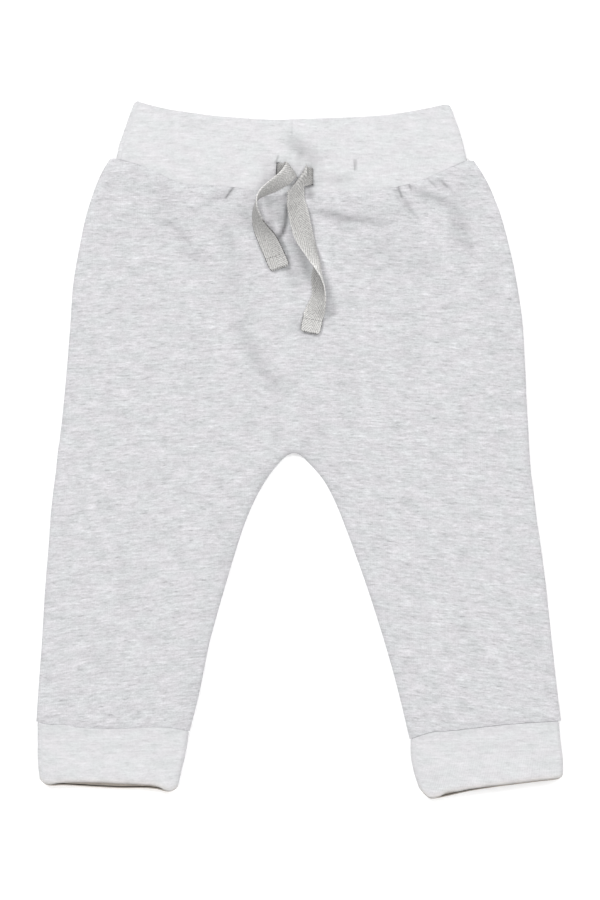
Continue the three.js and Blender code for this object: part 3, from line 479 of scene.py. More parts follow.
ROUTES = {
    # middle x, y, z, the direction of the width, and the degrees that the width is rolled up by
    "left": np.array([
        (-13, 163.4, 4.2, 0, 1, 0, 0), (-13, 163.4, 6.4, 0, 1, 0, 0), (-12.5, 163.4, 7.8, 0, 1, 0, 0),
        (-10.8, 163.4, 8.3, -0.08, 1, 0, 0), (-8, 163.4, 9.4, -0.26, 0.95, 0.06, 0),
        (-5, 164.9, 12.3, -0.41, 0.62, 0.67, 10), (-4.8, 164.3, 15, -0.46, 0.59, 0.66, 15),
        (-8.1, 160.3, 15.8, -0.42, 0.53, 0.74, 10), (-12.4, 157.2, 15.4, -0.42, 0.44, 0.79, 0),
        (-17, 154.3, 14.7, -0.35, 0.36, 0.86, 0), (-21.3, 151.7, 13.8, -0.23, 0.24, 0.94, 0),
        (-24.5, 148.7, 13, -0.06, 0.09, 0.99, 0), (-25.9, 144.7, 12.4, 0.11, 0.02, 0.99, 0),
        (-26, 140.2, 11.6, 0.29, 0.03, 0.96, 0), (-24.8, 135.1, 10.4, 0.49, 0.08, 0.87, 0),
        (-22.5, 130, 9, 0.7, 0.18, 0.69, 0), (-19.6, 125.3, 7.6, 0.88, 0.25, 0.42, 0),
        (-17, 120, 6.6, 0.94, 0.28, 0.18, 0), (-14.7, 114.7, 6.2, 0.95, 0.31, 0, 0),
        (-11.5, 107.2, 6.1, 0.94, 0.33, 0, 0),
    ]),
    "right": np.array([
        (7.4, 161.6, 4.2, 0, 1, 0, 0), (7.4, 161.6, 6.4, 0, 1, 0, 0), (6.9, 161.6, 7.7, 0, 1, 0, 0),
        (5, 161.5, 7.8, 0.06, 1, 0, 0), (3.2, 161.4, 8, 0.16, 0.98, 0, 0),
        (1.3, 161, 8.6, 0.34, 0.93, 0, 0), (-0.4, 159.8, 9.8, 0.54, 0.84, -0.05, 0),
        (-1.1, 158, 11.2, 0.68, 0.68, -0.26, 0), (-2.2, 153.8, 11.4, 0.74, 0.4, -0.54, 0),
        (-2.2, 146.5, 10.4, 0.86, 0.24, -0.46, 0), (-0.6, 138.8, 9.6, 0.97, 0.23, -0.03, 0),
        (1.1, 131.2, 9.5, 0.96, 0.24, -0.11, -10), (3.2, 124.8, 10.3, 0.88, 0.25, -0.4, -30),
        (6.6, 119.2, 12, 0.73, 0.25, -0.64, -75), (9.8, 114.2, 12.8, 0.5, 0.3, -0.81, -115),
        (11.9, 109.6, 12, 0.14, 0.26, -0.96, -142), (12.2, 105.7, 10.1, -0.35, 0.23, -0.91, -150),
        (12.2, 101.5, 8.7, -0.63, 0.1, -0.77, -135), (12.6, 96.2, 8.2, -0.68, 0.01, -0.74, -100),
        (12.1, 90.5, 7.7, -0.71, 0.03, -0.71, -60), (10, 85, 7.3, -0.86, 0.1, -0.5, -20),
        (7.9, 78.4, 6.6, -0.98, 0.18, 0, 0), (6, 69.3, 6.1, -0.98, 0.2, 0, 0),
    ]),
}


def unit(v):
    """Each row of v at length 1."""
    return v / np.linalg.norm(v, axis=-1, keepdims=True)


def rolled(width, turn, share):
    """A place across the tape on an arc of the given turn: how far along the width's direction and out of it,
    and the same for the way its face looks. With no turn the arc is very wide."""
    turn = np.where(np.abs(turn) < STRAIGHT, STRAIGHT, turn)
    angle = turn * share
    return width / turn * np.sin(angle), width / turn * (1 - np.cos(angle)), -np.sin(angle), np.cos(angle)


def tape_end(side, steps=230, lanes=17):
    """Carries a flat strip along its route. Its cross lines follow the width's direction, longer where they
    cross the tape aslant, and half the thickness goes to each side along the strip's own normal. Its marks
    are the way left to its end, the light lost along it as painted shade and painted light, and painted
    shadow on its rims near the end and on its tip."""
    route = ROUTES[side]
    last = len(route) - 1
    t = np.linspace(0, last, steps)
    middle = through(route[:, :3], t)
    ahead, behind = np.minimum(t + STEP, last), np.maximum(t - STEP, 0)
    along = unit(through(route[:, :3], ahead) - through(route[:, :3], behind))
    across = unit(through(route[:, 3:6], t))
    square = np.cross(along, across)
    reach = TAPE["width"] * np.minimum(1 / np.linalg.norm(square, axis=1), TAPE["longest"])
    face = unit(square)
    to_end = np.linalg.norm(middle - middle[-1], axis=1)
    half = np.where(to_end < TAPE["hem"], TAPE["hem_thick"], TAPE["thick"]) / 2
    gone = np.concatenate([[0], np.cumsum(np.linalg.norm(np.diff(middle, axis=0), axis=1))])
    reach = reach * (1 - CORNER["cut"] * np.clip(1 - to_end / CORNER["reach"], 0, 1) ** 2)
    reach = reach * mix(GATHER[side], 1, smooth(gone / GATHER["reach"]))
    share = np.linspace(-0.5, 0.5, lanes)
    turn = np.radians(through(route[:, 6], t))
    aside, up, lean, stand = [v[..., None] for v in rolled(reach[:, None], turn[:, None], share[None])]
    points = middle[:, None] + across[:, None] * aside + face[:, None] * up
    short = cloth_top(points[..., 0], points[..., 1]) + half[:, None] + TAPE["rest"] - points[..., 2]
    lift = np.where(t < TAPE["inside_rows"], 0, np.clip(short.max(axis=1), 0, None))
    points[..., 2] += lift[:, None]
    thin = 1 - EDGE_THIN * np.clip((np.abs(share) - EDGE_FROM) / EDGE_OVER, 0, 1)
    off = (face[:, None] * stand + across[:, None] * lean) * half[:, None, None] * thin[None, :, None]
    grid = np.arange(steps * lanes).reshape(steps, lanes)
    faces = np.stack([grid[:-1, :-1], grid[:-1, 1:], grid[1:, 1:], grid[1:, :-1]], axis=-1).reshape(-1, 4)
    uv = np.stack(np.meshgrid(share * TAPE["width"], gone), axis=-1).reshape(-1, 2)
    to_go = gone[-1] - uv[:, 1]
    # painted shade and painted light along the tape, on face and back, carried by the crease mark
    shades = SHADES[side]
    lost = [np.repeat(np.interp(gone, shades[:, 0], shades[:, k]), lanes) for k in (1, -1)]
    # painted shadow on the rims near the end and on the tip
    rim = (to_go < RIM_SHADOW[side]).astype(float)
    tip = TIP_SHADOW[side] * (to_go < TIP_SHADOW["long"])
    marks = {"end": (to_go, to_go), "crease": lost, "rim": (rim, rim), "tip": (tip, tip)}
    skins = [(points + way * off).reshape(-1, 3) for way in (1, -1)]
    made = wall("tape_" + side, *skins, faces, uv, marks)
    centre = points[:, lanes // 2]
    return made, centre, np.linalg.norm(np.diff(centre, axis=0), axis=1).sum()


tapes = {}
for side, route in ROUTES.items():
    piece, centre, long = tape_end(side)
    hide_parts("drawstring_" + side)
    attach(piece, "root")
    tapes[side] = piece
    print("tape", side, round(long, 1), "mm")

# %% [markdown]
# ## The front and the back
# Each is one panel with both legs. The grid is fine near every edge and below the waist, where the body is
# gathered into the band. Its halves meet in one line of points down the middle, as far as the crotch.

# %% Rows and columns of a panel
def spaced(total, steps):
    """Places from 0 to total whose spacing changes along the way: rows of reach, spacing."""
    places, at = [0.0], 0.0
    for reach, step in steps:
        stop = min(reach, total)
        count = max(1, round((stop - at) / step))
        places += list(np.linspace(at, stop, count + 1)[1:])
        at = stop
    return np.array(places)


# more rows, in mm above the crotch
ABOVE_CROTCH = np.array([2.8, 2.0, 1.2, 0.6, 0.25])


def row_places(steps):
    """Cross-line numbers whose distance down the middle of the left half follows the given spacing."""
    t = np.linspace(0, LAST_LINE, 2000)
    x, y = on_body("left", t, np.full(t.shape, 0.5))
    down = np.concatenate([[0], np.cumsum(np.hypot(np.diff(x), np.diff(y)))])
    places = np.interp(spaced(down[-1], steps + [(down[-1], 0.6)]), down, t)
    above = CROTCH - ABOVE_CROTCH / (CENTRE[-2, 1] - CENTRE[-1, 1])
    places = places[np.abs(places - CROTCH) > 0.04]
    return np.unique(np.concatenate([places, above, [CROTCH]]))


# columns at each edge, in mm, and shares of the way across where they crowd, each with its reach
EDGE_PLACES = np.array([0, 0.25, 0.6, 1.0, 1.5, 2.1, EDGE_ROUND])
FINE_COLUMNS = {"left": [(0.66, 0.03)], "right": [(0.39, 0.05), (0.19, 0.06)]}
CROWDING = 1.6


def column_places(width, count, fine):
    """Shares of the way across a half, a row per width: close together at both ends and in fine places."""
    near = EDGE_PLACES[None] / width[:, None]
    s = np.linspace(0, 1, 500)
    crowd = np.cumsum(1 + sum(CROWDING * np.exp(-(((s - middle) / reach) ** 2)) for middle, reach in fine))
    even = np.interp(np.linspace(crowd[0], crowd[-1], count + 2)[1:-1], crowd, s)
    rest = mix(near[:, -1:], 1 - near[:, -1:], even[None])
    return np.hstack([near, rest, 1 - near[:, ::-1]])


LEAN, LEAN_FROM, LEAN_OVER, LEVEL = (0.03, 0.10), 150, 300, 30


def knit_place(x, y):
    """The knit's own x and y in mm: its rows are level in the middle and lean with the legs, more towards the
    cuffs, so y grows by a share of the distance from the centre."""
    lean = mix(*LEAN, smooth((LEAN_FROM - y) / LEAN_OVER))
    return np.stack([x, y + lean * (np.sqrt(x**2 + LEVEL**2) - LEVEL)], axis=-1)


def panel(name, rows, columns, heights, creased):
    """Both halves as one grid of shared points, with its outer and inner skin."""
    outer, inner, faces, base, centre = [], [], [], 0, None
    for half in ("left", "right"):
        t = rows[:, None]
        width = np.abs(through(SIDES[half], rows)[:, 0] - inner_point(half, rows)[:, 0])
        u = column_places(width, columns, FINE_COLUMNS[half])
        x, y = on_body(half, np.broadcast_to(t, u.shape), u)
        far, nx, ny = edge_near(x, y)
        inset = FLEECE * np.clip(1 - far / (3 * FLEECE), 0, 1)
        high, low = heights(x, y, far)
        outer.append(np.stack([x, y, high], axis=-1).reshape(-1, 3))
        inner.append(np.stack([x + nx * inset, y + ny * inset, low], axis=-1).reshape(-1, 3))
        grid = np.arange(u.size).reshape(u.shape) + base
        if half == "left":
            centre = grid[:, -1]
        else:
            grid[:, -1] = np.where(rows <= CROTCH, centre, grid[:, -1])
        quads = [grid[:-1, :-1], grid[1:, :-1], grid[1:, 1:], grid[:-1, 1:]]
        faces.append(np.stack(quads if half == "left" else quads[::-1], axis=-1).reshape(-1, 4))
        base += u.size
    outer, inner, faces = np.vstack(outer), np.vstack(inner), np.vstack(faces)
    x, y = outer[:, 0], outer[:, 1]
    # painted shade in the creases and in the tapes' shadows, and painted light on a few ridges
    lost = crease_bells(x, y)[1] if creased else np.zeros(len(x))
    return wall(name, outer, inner, faces, knit_place(x, y), {"crease": (lost, lost)})


front = panel("front_cloth", row_places([(36, 0.8), (120, 1.4), (330, 2.4)]), 102, front_heights, True)
back = panel("back_cloth", row_places([(10, 1.5), (325, 3.6)]), 46, back_heights, False)

# %% [markdown]
# ## Waistband and cuffs
# Each is a strip of stretch knit folded double and joined into a ring, then pressed flat. One function makes
# all three: places round the ring on one axis, and on the other the way from the seam to the folded edge.

# %% Tables of the bands
BAND_TOP = np.array([
    (-97.8, 205.3), (-96, 206.1), (-91.3, 204.7), (-79.5, 201.8), (-66.5, 199.7), (-48.8, 197.4),
    (-17.6, 195.3), (4.9, 195.8), (43.2, 197.4), (62.7, 199.7), (76.8, 202.3), (85.1, 204), (88.7, 204),
])
BAND_SIDES = np.array([(-108.4, 98.7), (-106.6, 97), (-103.7, 94.7), (-100.9, 91.7), (-97.8, 88.7)])
CUFFS = {
    "left": {
        "sides": np.array([(-154.9, -65.4), (-154.8, -67), (-154.7, -69.5), (-153.6, -72.1)]),
        "upper": np.array([
            (-153.6, -194.4), (-149.3, -197), (-139.7, -195.9), (-119, -195.7), (-105.3, -196.4),
            (-91.5, -197.1), (-84.6, -198), (-77.1, -201.2), (-72.1, -199.2),
        ]),
        "lower": np.array([
            (-153.6, -194.8), (-149.3, -197.8), (-139.7, -197.9), (-129.4, -198.4), (-119, -199),
            (-105.3, -199.6), (-91.5, -199.6), (-84.6, -200.2), (-77.1, -201.7), (-72.1, -199.6),
        ]),
    },
    "right": {
        "sides": np.array([(65.5, 152.9), (65.6, 153.9), (67.4, 155.2), (70.6, 155.5)]),
        "upper": np.array([
            (70.6, -199.6), (76.8, -205), (82.6, -204), (86.7, -201.9), (93.5, -201), (100.4, -199.6),
            (114.2, -197.7), (128, -196.1), (141.7, -194.5), (152.8, -193.4), (155.5, -192),
        ]),
        "lower": np.array([
            (70.6, -200), (76.8, -205.5), (82.6, -205.2), (86.7, -204.4), (93.5, -202.8), (100.4, -201.3),
            (114.2, -199.1), (128, -197.3), (141.7, -195.6), (152.8, -194.2), (155.5, -192.4),
        ]),
    },
}


# %% A ring of doubled cloth
def ring(name, heights, shares, wall_thick, gap, rim_way, shape, marks, holes=()):
    """heights: rows of v, narrow, short. shares: places across. The outer skin lies half the tube's height
    out from its middle, the inner skin one wall further in, and both draw together at the folded edge."""
    half = wall_thick + gap / 2
    arc = np.linspace(0, math.pi, 14)[1:-1]
    level, turned = np.zeros(len(shares)), np.zeros(len(arc))
    f = np.concatenate([shares, turned + 1, shares[::-1], turned])
    side = np.concatenate([level, np.sin(arc), level, -np.sin(arc)])
    over = np.concatenate([level + 1, np.cos(arc), level - 1, -np.cos(arc)])
    v, narrow, short = (np.array(heights)[:, k][:, None] for k in range(3))
    left, right, y_at, lift = shape(v, f[None], over[None])
    middle = mix(left + half, right - half, f[None])

    def skin(reach):
        x = middle + side * reach
        y = y_at(x) - short * wall_thick * rim_way
        return np.stack(np.broadcast_arrays(x, y, half + over * reach + np.maximum(over, 0) * lift), axis=-1)

    outer, inner = skin(half - narrow * wall_thick), skin(half - wall_thick + narrow * wall_thick)
    grid = np.arange(len(heights) * len(f)).reshape(-1, len(f))
    ahead = np.roll(grid, -1, axis=1)
    faces = np.stack([grid[:-1], ahead[:-1], ahead[1:], grid[1:]], axis=-1)
    centre = outer.reshape(-1, 3)[faces].mean(axis=2)
    keep = np.ones(faces.shape[:2], bool)
    for x, y, wide, tall in holes:
        inside = (np.abs(centre[..., 0] - x) < wide / 2) & (np.abs(centre[..., 1] - y) < tall / 2)
        keep &= ~(inside & (centre[..., 2] > half))
    around = np.concatenate([[0], np.cumsum(np.linalg.norm(np.diff(outer[0], axis=0), axis=1))])
    way, down, lower = [np.broadcast_to(part, grid.shape).ravel() for part in (around, v, over < 0)]
    outer, inner = outer.reshape(-1, 3), inner.reshape(-1, 3)
    uv = np.stack([way, outer[:, 1]], axis=-1)
    return wall(name, outer, inner, faces[keep], uv, marks(outer[:, 0], outer[:, 1], down, lower))


def laid(ends, v, seam, hem):
    """A band's left and right side at v, and its y at any x, between its seam and its folded edge."""
    sides = through(ends, v * (len(ends) - 1))
    left, right = sides[..., 0], sides[..., 1]

    def y_at(x):
        share = np.clip((x - left) / (right - left), 0, 1)
        return mix(seam(mix(*ends[0], share)), hem(mix(*ends[-1], share)), v)

    return left, right, y_at


FOLDED_RIM = [(1, 0, 0.5), (1, 0.05, 0.32), (1, 0.14, 0.16), (1, 0.25, 0.05), (1, 0.36, 0)]
BAND_SEAM = [(0, 0.04, 0), (0.006, 0.02, 0), (0.018, 0.01, 0), (0.035, 0, 0)]
CUFF_SEAM = [(0, 0.28, 0), (0.006, 0.18, 0), (0.018, 0.09, 0), (0.035, 0.03, 0)]

# %% The waistband
BAND_NICK = [(32.6, 171), (32.7, 165.6)]
BAND_MARKS = [
    # the band's joining seam, its soft hollows and a nick: path, depth, spread, light lost
    ([(-4.9, 196), (-4.8, 186)], 0.3, 0.7, 0.1),
    ([(-4.6, 182), (0.1, 179.1), (5.2, 174.4), (6.8, 169.4)], 1.2, 4.4, 0.15),
    (BAND_NICK, 0.4, 0.6, 0.6),
    ([(-12.8, 173.4), (-13.9, 169.5)], 0.1, 0.6, 0.35),
    ([(1.3, 177), (-0.4, 171.4), (-1, 164.3)], 0.2, 2, 0.1),
    ([(-3.2, 178.4), (1, 175.5)], 0.2, 4, 0.08),
    ([(2, 154.5), (14, 158.5), (29, 158.6)], 0.3, 3, 0.12),
    ([(4.3, 157), (6.5, 151)], 0, 2.6, 0.3),
    ([(12, 170), (12, 160)], 0.7, 3, 0.04),
    ([(-19, 168), (-20, 158)], 0.7, 3, 0.03),
]
# middle x, y, width, height
BUTTONHOLES = [(-13, 163.4, 1.8, 12.6), (7.3, 161.6, 1.3, 10)]
SEWN_REACH, SEWN_FADE = 2.4, 0.7
# columns about a buttonhole, in halves of its width, and about the nick, in mm
HOLE_COLUMNS = np.array([-1.7, -1, -0.4, 0.4, 1, 1.7])
NICK_COLUMNS = np.array([-0.8, -0.4, 0, 0.4, 0.8])
DEEPEST = 1.3


def band_bells(x, y):
    """Bells across the drawn lines, as on the front: the depth, and the share of light lost."""
    bells = [np.exp(-((nearest(path, x, y)[0] / spread) ** 2)) for path, _, spread, _ in BAND_MARKS]
    return [sum(row[k] * bell for row, bell in zip(BAND_MARKS, bells)) for k in (1, 3)]


def band_marks(x, y, down, lower):
    """Painted shade darkens the hollows of the upper wall, and the stitching round each buttonhole darkens it
    too.
    """
    # painted shade in the band's hollows and puckers
    hollow_shade = np.where(lower, 0, band_bells(x, y)[1])
    far = [np.hypot(np.clip(np.abs(x - cx) - wide / 2, 0, None), np.clip(np.abs(y - cy) - tall / 2, 0, None))
           for cx, cy, wide, tall in BUTTONHOLES]
    sewn = np.where(lower, 0, np.clip(SEWN_REACH - np.minimum(*far) / SEWN_FADE, 0, 1))
    return {"crease": (hollow_shade, hollow_shade), "sewn": (sewn, sewn)}


def band_shape(v, f, over):
    """Sides from their table, y between the seam and the top edge, and a slight swell with its hollows."""
    left, right, y_at = laid(BAND_SIDES, v, lambda x: height_at(WAIST_SEAM, x) + SEWN["waist"] / 2,
                             lambda x: height_at(BAND_TOP, x))
    x = mix(left, right, f)
    hollow = np.minimum(band_bells(x, y_at(x))[0], DEEPEST) * smooth(v * 8) * smooth((1 - v) * 12)
    return left, right, y_at, BAND_SWELL * np.sin(math.pi * f) * np.sin(math.pi * v) - hollow


def band_shares():
    """Even places across, crowded at the buttonholes and at the nick."""
    left, right = BAND_SIDES[0, 0], BAND_SIDES[0, 1]
    even = np.linspace(0, 1, 181)
    for x, _, wide, _ in BUTTONHOLES:
        middle, half = (x - left) / (right - left), wide / 2 / (right - left)
        even = even[np.abs(even - middle) > 1.8 * half]
        even = np.concatenate([even, middle + half * HOLE_COLUMNS])
    nick = (BAND_NICK[0][0] - left) / (right - left)
    even = np.concatenate([even, nick + NICK_COLUMNS / (right - left)])
    return np.unique(np.clip(even, 0, 1))


rows = BAND_SEAM + [(v, 0, 0) for v in np.linspace(0.05, 0.96, 52)] + [(0.985, 0, 0)] + FOLDED_RIM
across = band_shares()
waistband = ring("waistband_cloth", rows, across, BAND_WALL, BAND_GAP, 1, band_shape, band_marks, BUTTONHOLES)

# %% The cuffs
# painted shade by the left and by the right cuff, as a share of light lost; below 0 it is painted light
LOWER_HEM, IN_MOUTH = (-0.6, 0.1), (0.3, 0.45)
UPPER, AT_SEAM, SEAM_REACH, AT_HEM = 0.02, 0.07, 0.07, 0.10


def mouth_marks(x, y, down, lower):
    """Painted shade along the seam, at the upper hem and inside the mouth, as light lost. The left lower hem
    has painted light and is paler. What shows in a mouth is warmer."""
    in_mouth = np.where(lower, np.clip((down - 0.7) / 0.15, 0, 1), 0)
    hem = np.where(lower, 0, np.clip((down - 0.9) / 0.1, 0, 1))
    lost = UPPER + AT_SEAM * np.exp(-((down / SEAM_REACH) ** 2)) + AT_HEM * hem
    rim = lower & (down >= 1)
    return {
        "mouth": (np.where(rim, np.where(x < 0, *LOWER_HEM), lost), np.where(x < 0, *IN_MOUTH) * in_mouth),
        "warm": (np.where(rim, 1, 0.3 * hem), in_mouth),
    }


def cuff(name):
    """A ring whose upper hem ends above its lower one, so the mouth shows as a dark slit."""
    table = CUFFS[name]

    def shape(v, f, over):
        def hem(x):
            return mix(height_at(table["lower"], x), height_at(table["upper"], x), (over + 1) / 2)

        lines = laid(table["sides"], v, lambda x: height_at(CUFF_SEAMS[name], x) - SEWN[name] / 2, hem)
        return *lines, (CUFF_MOUTH - CUFF_GAP) * v * v * np.sin(math.pi * f)

    rows = CUFF_SEAM + [(v, 0, 0) for v in np.linspace(0.05, 0.95, 30)] + [(0.98, 0, 0)] + FOLDED_RIM
    places = np.linspace(0, 1, 71)
    return ring("cuff_" + name + "_cloth", rows, places, CUFF_WALL, CUFF_GAP, -1, shape, mouth_marks)


cuffs = {name: cuff(name) for name in CUFFS}

# %% [markdown]
# ## The cloth's cut sizes
# Every sheet lists the size it was cut to, without seam allowance: the panels by their box and their true
# area, the rings by what shows, all round, so their length is twice the width laid flat. Only its finish and
# the part it hides are read below.

# %% Cut sizes
BAND_ROUND, BAND_TALL = 2 * 200.0, 46.0
CUFF_ROUND, CUFF_TALL = 2 * 88.0, 35.0
sheets = [
    (front, "front", "body_knit", (0.309, 0.343), 0.0763, ["back"]),
    (back, "back", "body_knit", (0.309, 0.343), 0.0763, ["floor"]),
    (waistband, "waistband", "trim_knit", (BAND_ROUND * MM, BAND_TALL * MM), None, ["floor"]),
]
for side, piece in cuffs.items():
    sheets.append((piece, "cuff_" + side, "trim_knit", (CUFF_ROUND * MM, CUFF_TALL * MM), None, ["floor"]))

# %% [markdown]
# ## The table and the light
# A white floor and large soft lamps. The light is nearly even, a little stronger from the upper left, so
# creases show only as faint grey.

# %% Floor and lamps
def set_inputs(shader, values):
    """Sets a shader's inputs by name."""
    for key, value in values.items():
        shader.inputs[key].default_value = value


def floor():
    """A square of one face, well beyond the picture."""
    mesh = bpy.data.meshes.new("floor")
    mesh.from_pydata([(-4, -4, 0), (4, -4, 0), (4, 4, 0), (-4, 4, 0)], [], [(0, 1, 2, 3)])
    paint = bpy.data.materials.new("white_table")
    paint.use_nodes = True
    matt = {"Base Color": (1, 1, 1, 1), "Roughness": 1.0, "Specular IOR Level": 0.0}
    set_inputs(paint.node_tree.nodes["Principled BSDF"], matt)
    mesh.materials.append(paint)
    put("floor", mesh)


def lamp(name, place, size, power):
    """A square lamp that faces the middle of the garment."""
    data = bpy.data.lights.new(name, "AREA")
    data.size, data.energy = size, power
    made = put(name, data)
    x, y, z = place
    made.location = place
    flat = math.hypot(x, y)
    made.rotation_euler = (math.atan2(flat, z), 0, math.atan2(x, -y) if flat else 0)


floor()
lamp("key", (-2.3, 2.7, 3.4), 1.2, 122.0)
lamp("second", (2.7, 2.1, 3.4), 2.0, 79.0)
lamp("above", (0.0, -0.5, 2.4), 1.6, 26.0)
world = bpy.data.worlds.new("studio")
bpy.context.scene.world = world
world.use_nodes = True
set_inputs(world.node_tree.nodes["Background"], {"Color": (1, 1, 1, 1), "Strength": 0.45})
bpy.context.scene.view_settings.view_transform = "Standard"

# %% [markdown]
# ## Cloth finishes
# The body is a melange knit: pale grey with short level streaks where darker fibres were spun in. The pattern
# reads the piece's own UV map, which is in metres, so a streak has its real length and leans with the leg.
# Noise stretched along the rows makes streaks of three sizes and a fine grain, sine waves make the stitches,
# and the points' own marks paint shade into the creases, the tapes' folds and the cuff mouths, and paint
# light onto a few ridges and hems.

# %% Node helpers
def add(tree, kind, values=None, **settings):
    """Adds a node, sets its properties and its inputs, and links the inputs that are sockets."""
    node = tree.nodes.new(kind)
    for key, value in settings.items():
        setattr(node, key, value)
    for key, value in (values or {}).items():
        if isinstance(value, bpy.types.NodeSocket):
            tree.links.new(value, node.inputs[key])
        else:
            node.inputs[key].default_value = value
    return node


def maths(tree, kind, a, b=0.0, c=0.0, clamp=False):
    """One sum of a Math node."""
    return add(tree, "ShaderNodeMath", {0: a, 1: b, 2: c}, operation=kind, use_clamp=clamp).outputs[0]


def stretched(tree, place, across, along, detail=2.0, rough=0.55):
    """Noise whose grain is across metres long along the rows and along metres tall."""
    grid = (1 / across, 1 / along, 1)
    scaled = add(tree, "ShaderNodeVectorMath", {0: place, 1: grid}, operation="MULTIPLY")
    values = {"Vector": scaled.outputs[0], "Scale": 1.0, "Detail": detail, "Roughness": rough}
    return add(tree, "ShaderNodeTexNoise", values, noise_dimensions="2D").outputs["Fac"]


def around(tree, value, weight):
    """Noise moved to lie around 0 and weighed."""
    return maths(tree, "MULTIPLY", maths(tree, "SUBTRACT", value, 0.5), weight)


def beyond(tree, value, start, over):
    """0 up to the start, and 1 from there on by so much."""
    return maths(tree, "MULTIPLY", maths(tree, "SUBTRACT", value, start), 1 / over, clamp=True)


def waves(tree, value, long):
    """A sine whose waves are so long."""
    return maths(tree, "SINE", maths(tree, "MULTIPLY", value, 2 * math.pi / long))


def mark(tree, name):
    """The number that a piece's points carry under this name, or 0 where it has none."""
    return add(tree, "ShaderNodeAttribute", attribute_name=name).outputs["Fac"]


def cloth_material(name):
    """A new material, its node tree, and the place on the cloth in metres, whole and as two numbers."""
    material = bpy.data.materials.new(name)
    material.use_nodes = True
    tree = material.node_tree
    place = add(tree, "ShaderNodeUVMap", uv_map="cloth").outputs["UV"]
    parts = add(tree, "ShaderNodeSeparateXYZ", {0: place})
    return material, tree, place, parts.outputs[0], parts.outputs[1]


def finish_cloth(tree, colour, tone, lost, height, relief, surface):
    """Colour times tone, less the light that the named marks say is lost, with its relief and surface."""
    shader = tree.nodes["Principled BSDF"]
    for name in lost:
        tone = maths(tree, "MULTIPLY", tone, maths(tree, "SUBTRACT", 1.0, mark(tree, name)))
    scale = add(tree, "ShaderNodeVectorMath", {0: colour, 3: tone}, operation="SCALE")
    tree.links.new(scale.outputs[0], shader.inputs["Base Color"])
    strength, distance = relief
    bump = add(tree, "ShaderNodeBump", {"Strength": strength, "Distance": distance, "Height": height})
    tree.links.new(bump.outputs[0], shader.inputs["Normal"])
    set_inputs(shader, surface)


# %% Melange knit
STREAKS = [
    # length and height of a streak in metres, how much it tells, finer detail
    (0.0084, 0.00150, 0.50, 3.0), (0.0030, 0.00115, 0.30, 2.0), (0.018, 0.006, 0.24, 2.0),
    (0.0010, 0.0009, 0.26, 1.0),
]
# single threads: their size, then where dark and pale ones begin and how much they tell
THREAD, DARK, PALE = (0.0055, 0.0009), (0.62, -1.15), (0.38, 0.8)
STITCHES = -0.13
# two faint casts: the size of a patch, how they blend, and what each does to the colour
PATCH, BLEND = (0.012, 0.007), (2.4, -0.75)
LILAC, TEAL = (1.003, 0.998, 1.006), (0.984, 1.004, 1.000)
# warm cloth, as shares of the colour's green
WARM = (1.12, 1.0, 0.885)


def melange(name, colour, contrast, size, stitch):
    """A knit of one colour times its tone, which is 1 plus its streaks and threads; stitches are relief."""
    material, tree, place, along, up = cloth_material(name)
    tone = 1.0
    for long, tall, weight, detail in STREAKS:
        noise = stretched(tree, place, long * size, tall * size, detail, 0.62)
        tone = maths(tree, "ADD", tone, around(tree, noise, weight * contrast))
    thread = stretched(tree, place, *(edge * size for edge in THREAD), 1.0)
    dark = maths(tree, "SUBTRACT", thread, DARK[0], clamp=True)
    pale = maths(tree, "SUBTRACT", PALE[0], thread, clamp=True)
    sewn = mark(tree, "sewn")
    for part, weight in ((dark, DARK[1] * contrast), (pale, PALE[1] * contrast), (sewn, STITCHES)):
        tone = maths(tree, "MULTIPLY_ADD", part, weight, tone)
    cast = maths(tree, "MULTIPLY_ADD", stretched(tree, place, *PATCH, 0.0), *BLEND, clamp=True)
    lilac, teal = [(*(c * k for c, k in zip(colour, kind)), 1) for kind in (LILAC, TEAL)]
    tint = add(tree, "ShaderNodeMix", {0: cast, 6: lilac, 7: teal}, data_type="RGBA")
    warm = (*(colour[1] * k for k in WARM), 1)
    tint = add(tree, "ShaderNodeMix", {0: mark(tree, "warm"), 6: tint.outputs[2], 7: warm}, data_type="RGBA")
    wales, courses = waves(tree, along, stitch), waves(tree, up, stitch * 0.8)
    loops = maths(tree, "MULTIPLY_ADD", wales, 0.3, maths(tree, "MULTIPLY", courses, 0.2))
    fuzz = add(tree, "ShaderNodeTexNoise", {"Vector": place, "Scale": 1500.0, "Detail": 2.0})
    height = maths(tree, "ADD", loops, fuzz.outputs["Fac"])
    surface = {"Roughness": 0.95, "Specular IOR Level": 0.2, "Sheen Weight": 0.1, "Sheen Roughness": 0.6}
    # the crease and mouth marks take painted shade out of the tone, and add painted light where below 0
    finish_cloth(tree, tint.outputs[2], tone, ["crease", "mouth"], height, (0.35, 0.00025), surface)
    return material


finishes = {
    "body_knit": melange("body_melange", (0.511, 0.507, 0.520), 1.0, 1.0, 0.0011),
    "trim_knit": melange("trim_melange", (0.563, 0.560, 0.570), 0.56, 1.30, 0.0010),
}
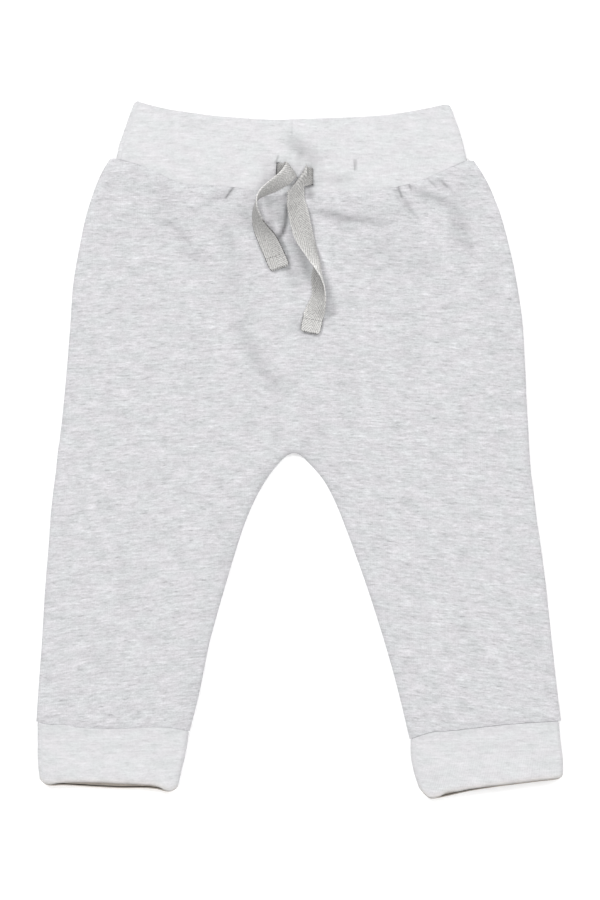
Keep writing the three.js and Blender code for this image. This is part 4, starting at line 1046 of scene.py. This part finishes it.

# %% Herringbone tape
# in metres: lengths, and where the pale edge and the rim of painted shadow begin and over how much; in mm:
# how far the hem's step of painted shade and its row of stitches are from the end, and half their widths
WEAVE = {
    "rib": 0.0017, "slant": -1.2, "grain": 0.0011, "edge": (0.0049, 0.0004), "rim": (0.00545, 0.0003),
    "stitch": 0.0022, "step": (8.0, 0.35), "row": (6.9, 0.3),
}


def herringbone(name, colour):
    """Ribs that slant one way left of the middle and the other way right of it: a sine of the place along
    the tape less the distance from its middle. The woven edges are paler, painted shadow darkens the last
    rims and the tip, and a step of painted shade and a row of short stitches show the hem."""
    material, tree, place, aside, along = cloth_material(name)
    off = maths(tree, "ABSOLUTE", aside)
    rib = waves(tree, maths(tree, "MULTIPLY_ADD", off, WEAVE["slant"], along), WEAVE["rib"])
    grain = stretched(tree, place, WEAVE["grain"], WEAVE["grain"], 2.0)
    edge = beyond(tree, off, *WEAVE["edge"])
    # painted shadow along the rims near the end and on the tip
    rim = maths(tree, "MULTIPLY", beyond(tree, off, *WEAVE["rim"]), mark(tree, "rim"))
    rim = maths(tree, "MAXIMUM", rim, mark(tree, "tip"))
    to_go = mark(tree, "end")
    # painted shade along the hem's step
    step = maths(tree, "COMPARE", to_go, *WEAVE["step"])
    stitches = maths(tree, "GREATER_THAN", waves(tree, aside, WEAVE["stitch"]), 0.2)
    sewn = maths(tree, "MULTIPLY", maths(tree, "COMPARE", to_go, *WEAVE["row"]), stitches)
    tone = maths(tree, "ADD", 1.0, around(tree, grain, 0.95))
    for part, weight in ((rib, 0.20), (edge, 0.16), (step, -0.28), (sewn, -0.2), (rim, -0.75)):
        tone = maths(tree, "MULTIPLY_ADD", part, weight, tone)
    height = maths(tree, "MULTIPLY_ADD", rib, 0.5, grain)
    surface = {"Roughness": 0.9, "Specular IOR Level": 0.25}
    finish_cloth(tree, colour, tone, ["crease"], height, (0.7, 0.0002), surface)
    return material


tape_weave = herringbone("tape_herringbone", (0.432, 0.427, 0.418))

# %% Dress every piece
for piece, node, slot, flat, area, under in sheets:
    piece.data.materials.append(finishes[slot])
    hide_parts(node)
    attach(piece, "root")
for piece in tapes.values():
    piece.data.materials.append(tape_weave)
